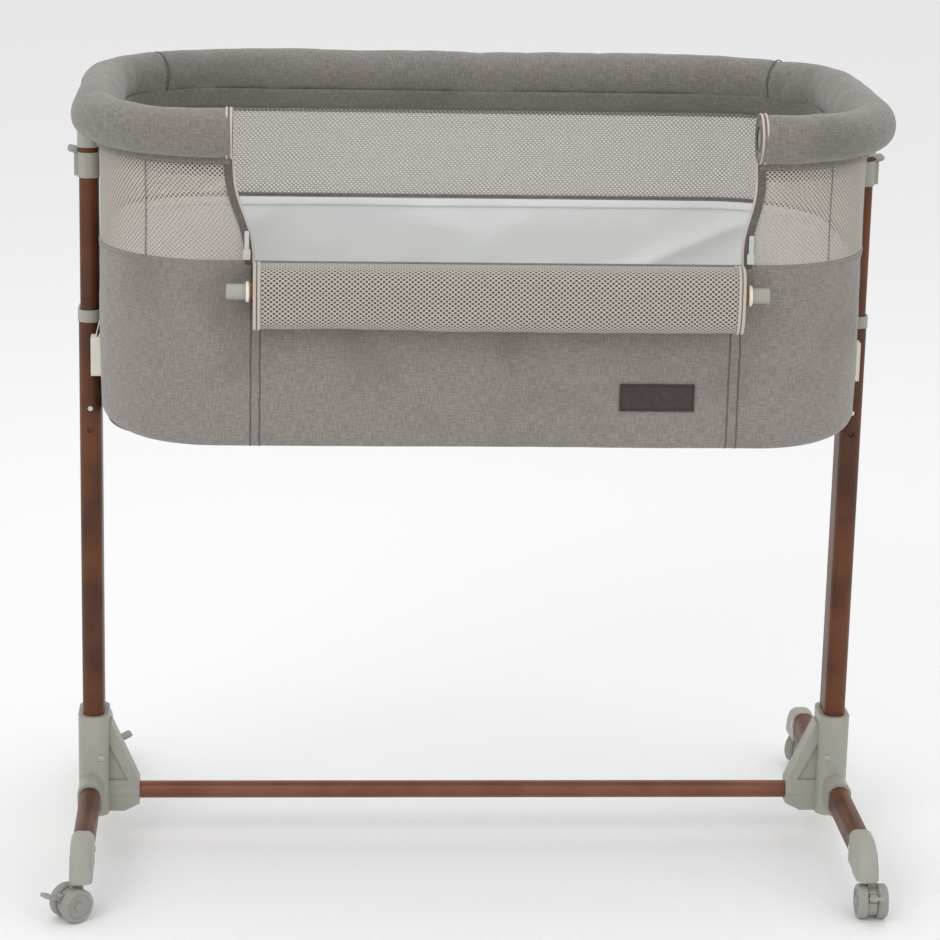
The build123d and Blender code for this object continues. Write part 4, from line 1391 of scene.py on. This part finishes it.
# ------------------------------------------------------------------------------- trimmings
@dataclass
class Trimmings:
    """Label, bed straps and small tabs."""

    palette: Palette
    basket: Basket

    def make_label(self) -> None:
        """Blank leather patch with a pressed border and its stitches."""
        low, high = cad_box("label_patch")
        middle, size = 0.5 * (low + high), high - low

        def shape(across: float, up: float) -> Vector:
            inside = min(across * size.x, (1 - across) * size.x, up * size.z, (1 - up) * size.z)
            press = 0.35 * MM * math.exp(-(((inside - 2.4 * MM) / (0.9 * MM)) ** 2))
            edge = 0.5 * MM * max(1 - inside / (0.9 * MM), 0.0) ** 2
            return Vector((low.x + across * size.x, low.y - 0.3 * MM + press + edge, low.z + up * size.z))

        bm = shaped_grid(110, 42, shape, (size.x, size.z))
        patch = as_piece("label_leather", bm, self.palette.leather)
        thicken(patch, 1.2 * MM)
        settled(patch, "basket", "label_leather", "label_patch")
        self.make_stitches(middle, size)

    def make_stitches(self, middle: Vector, size: Vector) -> None:
        """A row of stitches inside the label's edge.

        Args:
            middle: the label's middle.
            size: the label's size.
        """
        joined = bmesh.new()
        half_x, half_z = 0.5 * size.x - 2.4 * MM, 0.5 * size.z - 2.4 * MM
        pitch = 3.0 * MM
        spots = []
        for row in (-1, 1):
            for half, upright in ((half_x, False), (half_z, True)):
                count = int(2 * half / pitch)
                for stitch in range(count):
                    place = -half + (stitch + 0.5) * 2 * half / count
                    spots.append((row * half_x, place, 90.0) if upright else (place, row * half_z, 0.0))
        for x, z, turn in spots:
            place = Matrix.Translation(middle + Vector((x, -0.5 * size.y - 0.25 * MM, z)))
            lean = Matrix.Rotation(math.radians(turn), 4, "Y")
            bmesh.ops.create_uvsphere(
                joined, u_segments=6, v_segments=4, radius=1.0,
                matrix=place @ lean @ Matrix.Diagonal((1.1 * MM, 0.35 * MM, 0.4 * MM, 1.0)),
            )
        sewn("label_stitches", joined, self.palette.thread, "label_leather")

    def make_straps(self) -> None:
        """Short webbing loops that hold the buckles to the end walls."""
        low, high = cad_box("strap_buckles")
        face = self.basket.wall.half_x
        for side in Side:
            middle_y = 0.5 * (low.y + high.y)

            def shape(along: float, across: float, side: Side = side) -> Vector:
                angle = math.pi * (2 * along - 1)
                height = 0.5 * (low.z + high.z) + 26 * MM - 16 * MM * math.cos(0.5 * angle)
                out = 1.2 * MM + 5.6 * MM * math.cos(0.5 * angle)
                place_y = middle_y + (across - 0.5) * 12 * MM
                return Vector((side.value * (face + out), place_y, height + 18 * MM * along))

            bm = shaped_grid(16, 3, shape, (0.05, 0.012))
            sewn(f"strap_{side.word}", bm, self.palette.webbing, "white_plastic", 1.2 * MM, 0.0)

    def make_tabs(self) -> None:
        """Cloth tabs that hang the lower ring from the floor cloth."""
        low, high = cad_box("lower_frame_ring")
        radius = 0.5 * (high.z - low.z)
        joined = bmesh.new()
        for x in (-0.30, -0.1, 0.1, 0.30):
            for row in (-1, 1):
                place = Vector((x, row * (high.y - radius), low.z + radius))

                def shape(turn: float, across: float, place: Vector = place) -> Vector:
                    angle = math.radians(-60 + 300 * turn)
                    out = radius + 0.7 * MM
                    width = (across - 0.5) * 26 * MM
                    return place + Vector((width, out * math.cos(angle), -out * math.sin(angle)))

                join_grid(joined, shaped_grid(16, 3, shape, (0.05, 0.026)))
        sewn("ring_tabs", joined, self.palette.webbing, "floor_cloth", 0.8 * MM, 0.0)

    def make(self) -> None:
        """Makes every trimming."""
        self.make_label()
        self.make_straps()
        self.make_tabs()


# ------------------------------------------------------------------------------------ hard
@dataclass
class Hardware:
    """Finishes for the CAD nodes that keep their own shape."""

    palette: Palette
    nodes: dict[str, bpy.types.Object]

    def dress(self) -> None:
        """Gives each carried-over node its material."""
        rules = (
            (("leg_", "foot_tube", "rim_tube", "lower_frame"), self.palette.tube),
            (("cross_bar", "front_rail"), self.palette.tube_bar),
            (("leg_collar", "base_bracket", "foot_cap", "trigger_housing", "height_trigger", "rim_sockets",
              "rail_sockets", "rail_plug"), self.palette.plastic),
            (("caster_",), self.palette.wheel),
            (("bracket_screws", "lock_pin"), self.palette.zinc),
            (("zip_slider",), self.palette.nickel),
            (("strap_buckles",), self.palette.cream),
            (("base_board",), self.palette.board),
        )
        for name, node in self.nodes.items():
            for starts, finish in rules:
                if name.startswith(starts):
                    node.data.materials.clear()
                    node.data.materials.append(finish)
        log.info("%d CAD nodes looked at", len(self.nodes))


# ---------------------------------------------------------------------------------- studio
@dataclass
class Studio:
    """Pale floor, soft lights and the camera."""

    lens: float = 120.03
    spot: tuple[float, float, float] = (-0.2456, -3.5725, 1.4389)
    down: float = 15.245
    yaw: float = 3.608
    roll: float = 1.25
    shift: float = 0.0168

    def make_floor(self) -> None:
        """A wide pale floor."""
        r = Recipe("studio_floor")
        finish = r.finish(Base_Color=(0.93, 0.93, 0.93), Roughness=0.8)
        bm = bmesh.new()
        bmesh.ops.create_grid(bm, x_segments=1, y_segments=1, size=30.0)
        bmesh.ops.translate(bm, verts=bm.verts, vec=(0, 0, -0.2 * MM))
        as_piece("floor", bm, finish)

    def make_light(self, name: str, place: Colour, size: float, power: float) -> None:
        """One square soft light aimed at the basket.

        Args:
            name: the light's name.
            place: where it stands.
            size: the side of its square.
            power: its power in watts.
        """
        lamp = bpy.data.lights.new(name, "AREA")
        lamp.size = size
        lamp.energy = power
        light = bpy.data.objects.new(name, lamp)
        aim = Vector((0, 0, 0.55)) - Vector(place)
        light.matrix_world = Matrix.Translation(place) @ aim.to_track_quat("-Z", "Y").to_matrix().to_4x4()
        bpy.context.scene.collection.objects.link(light)

    def make_camera(self) -> None:
        """The camera at the reference viewing angle."""
        data = bpy.data.cameras.new("camera")
        data.lens = self.lens
        data.sensor_width = 36.0
        data.shift_x = self.shift
        data.clip_end = 100.0
        camera = bpy.data.objects.new("camera", data)
        down, yaw, roll = (math.radians(turn) for turn in (self.down, self.yaw, self.roll))
        ahead = Vector((math.sin(yaw) * math.cos(down), math.cos(yaw) * math.cos(down), -math.sin(down)))
        flat_right = Vector((math.cos(yaw), -math.sin(yaw), 0.0))
        flat_up = flat_right.cross(ahead)
        right = flat_right * math.cos(roll) + flat_up * math.sin(roll)
        up = flat_up * math.cos(roll) - flat_right * math.sin(roll)
        turned = Matrix((right, up, -ahead)).transposed().to_4x4()
        camera.matrix_world = Matrix.Translation(self.spot) @ turned
        bpy.context.scene.collection.objects.link(camera)
        bpy.context.scene.camera = camera

    def make_world(self) -> None:
        """Even white surroundings."""
        world = bpy.data.worlds.new("studio")
        world.use_nodes = True
        back = world.node_tree.nodes["Background"]
        back.inputs[0].default_value = (1.0, 1.0, 1.0, 1.0)
        back.inputs[1].default_value = 0.85
        bpy.context.scene.world = world
        bpy.context.scene.view_settings.view_transform = "Standard"

    def make(self) -> None:
        """Makes the whole studio."""
        self.make_world()
        self.make_floor()
        self.make_light("key", (-2.2, -3.0, 3.2), 2.2, 38.0)
        self.make_light("fill", (2.8, -2.4, 2.0), 2.4, 12.0)
        self.make_light("top", (0.0, 0.4, 3.4), 2.4, 22.0)
        self.make_camera()


def main() -> None:
    """Builds the bassinet's looks."""
    logging.basicConfig(level=logging.INFO, format="%(name)s: %(message)s")
    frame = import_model()
    palette = Palette()
    Studio().make()
    Hardware(palette, frame["nodes"]).dress()
    basket = Basket(palette)
    basket.make()
    DropSide(palette, basket).make()
    Trimmings(palette, basket).make()


if __name__ == "__main__":
    main()
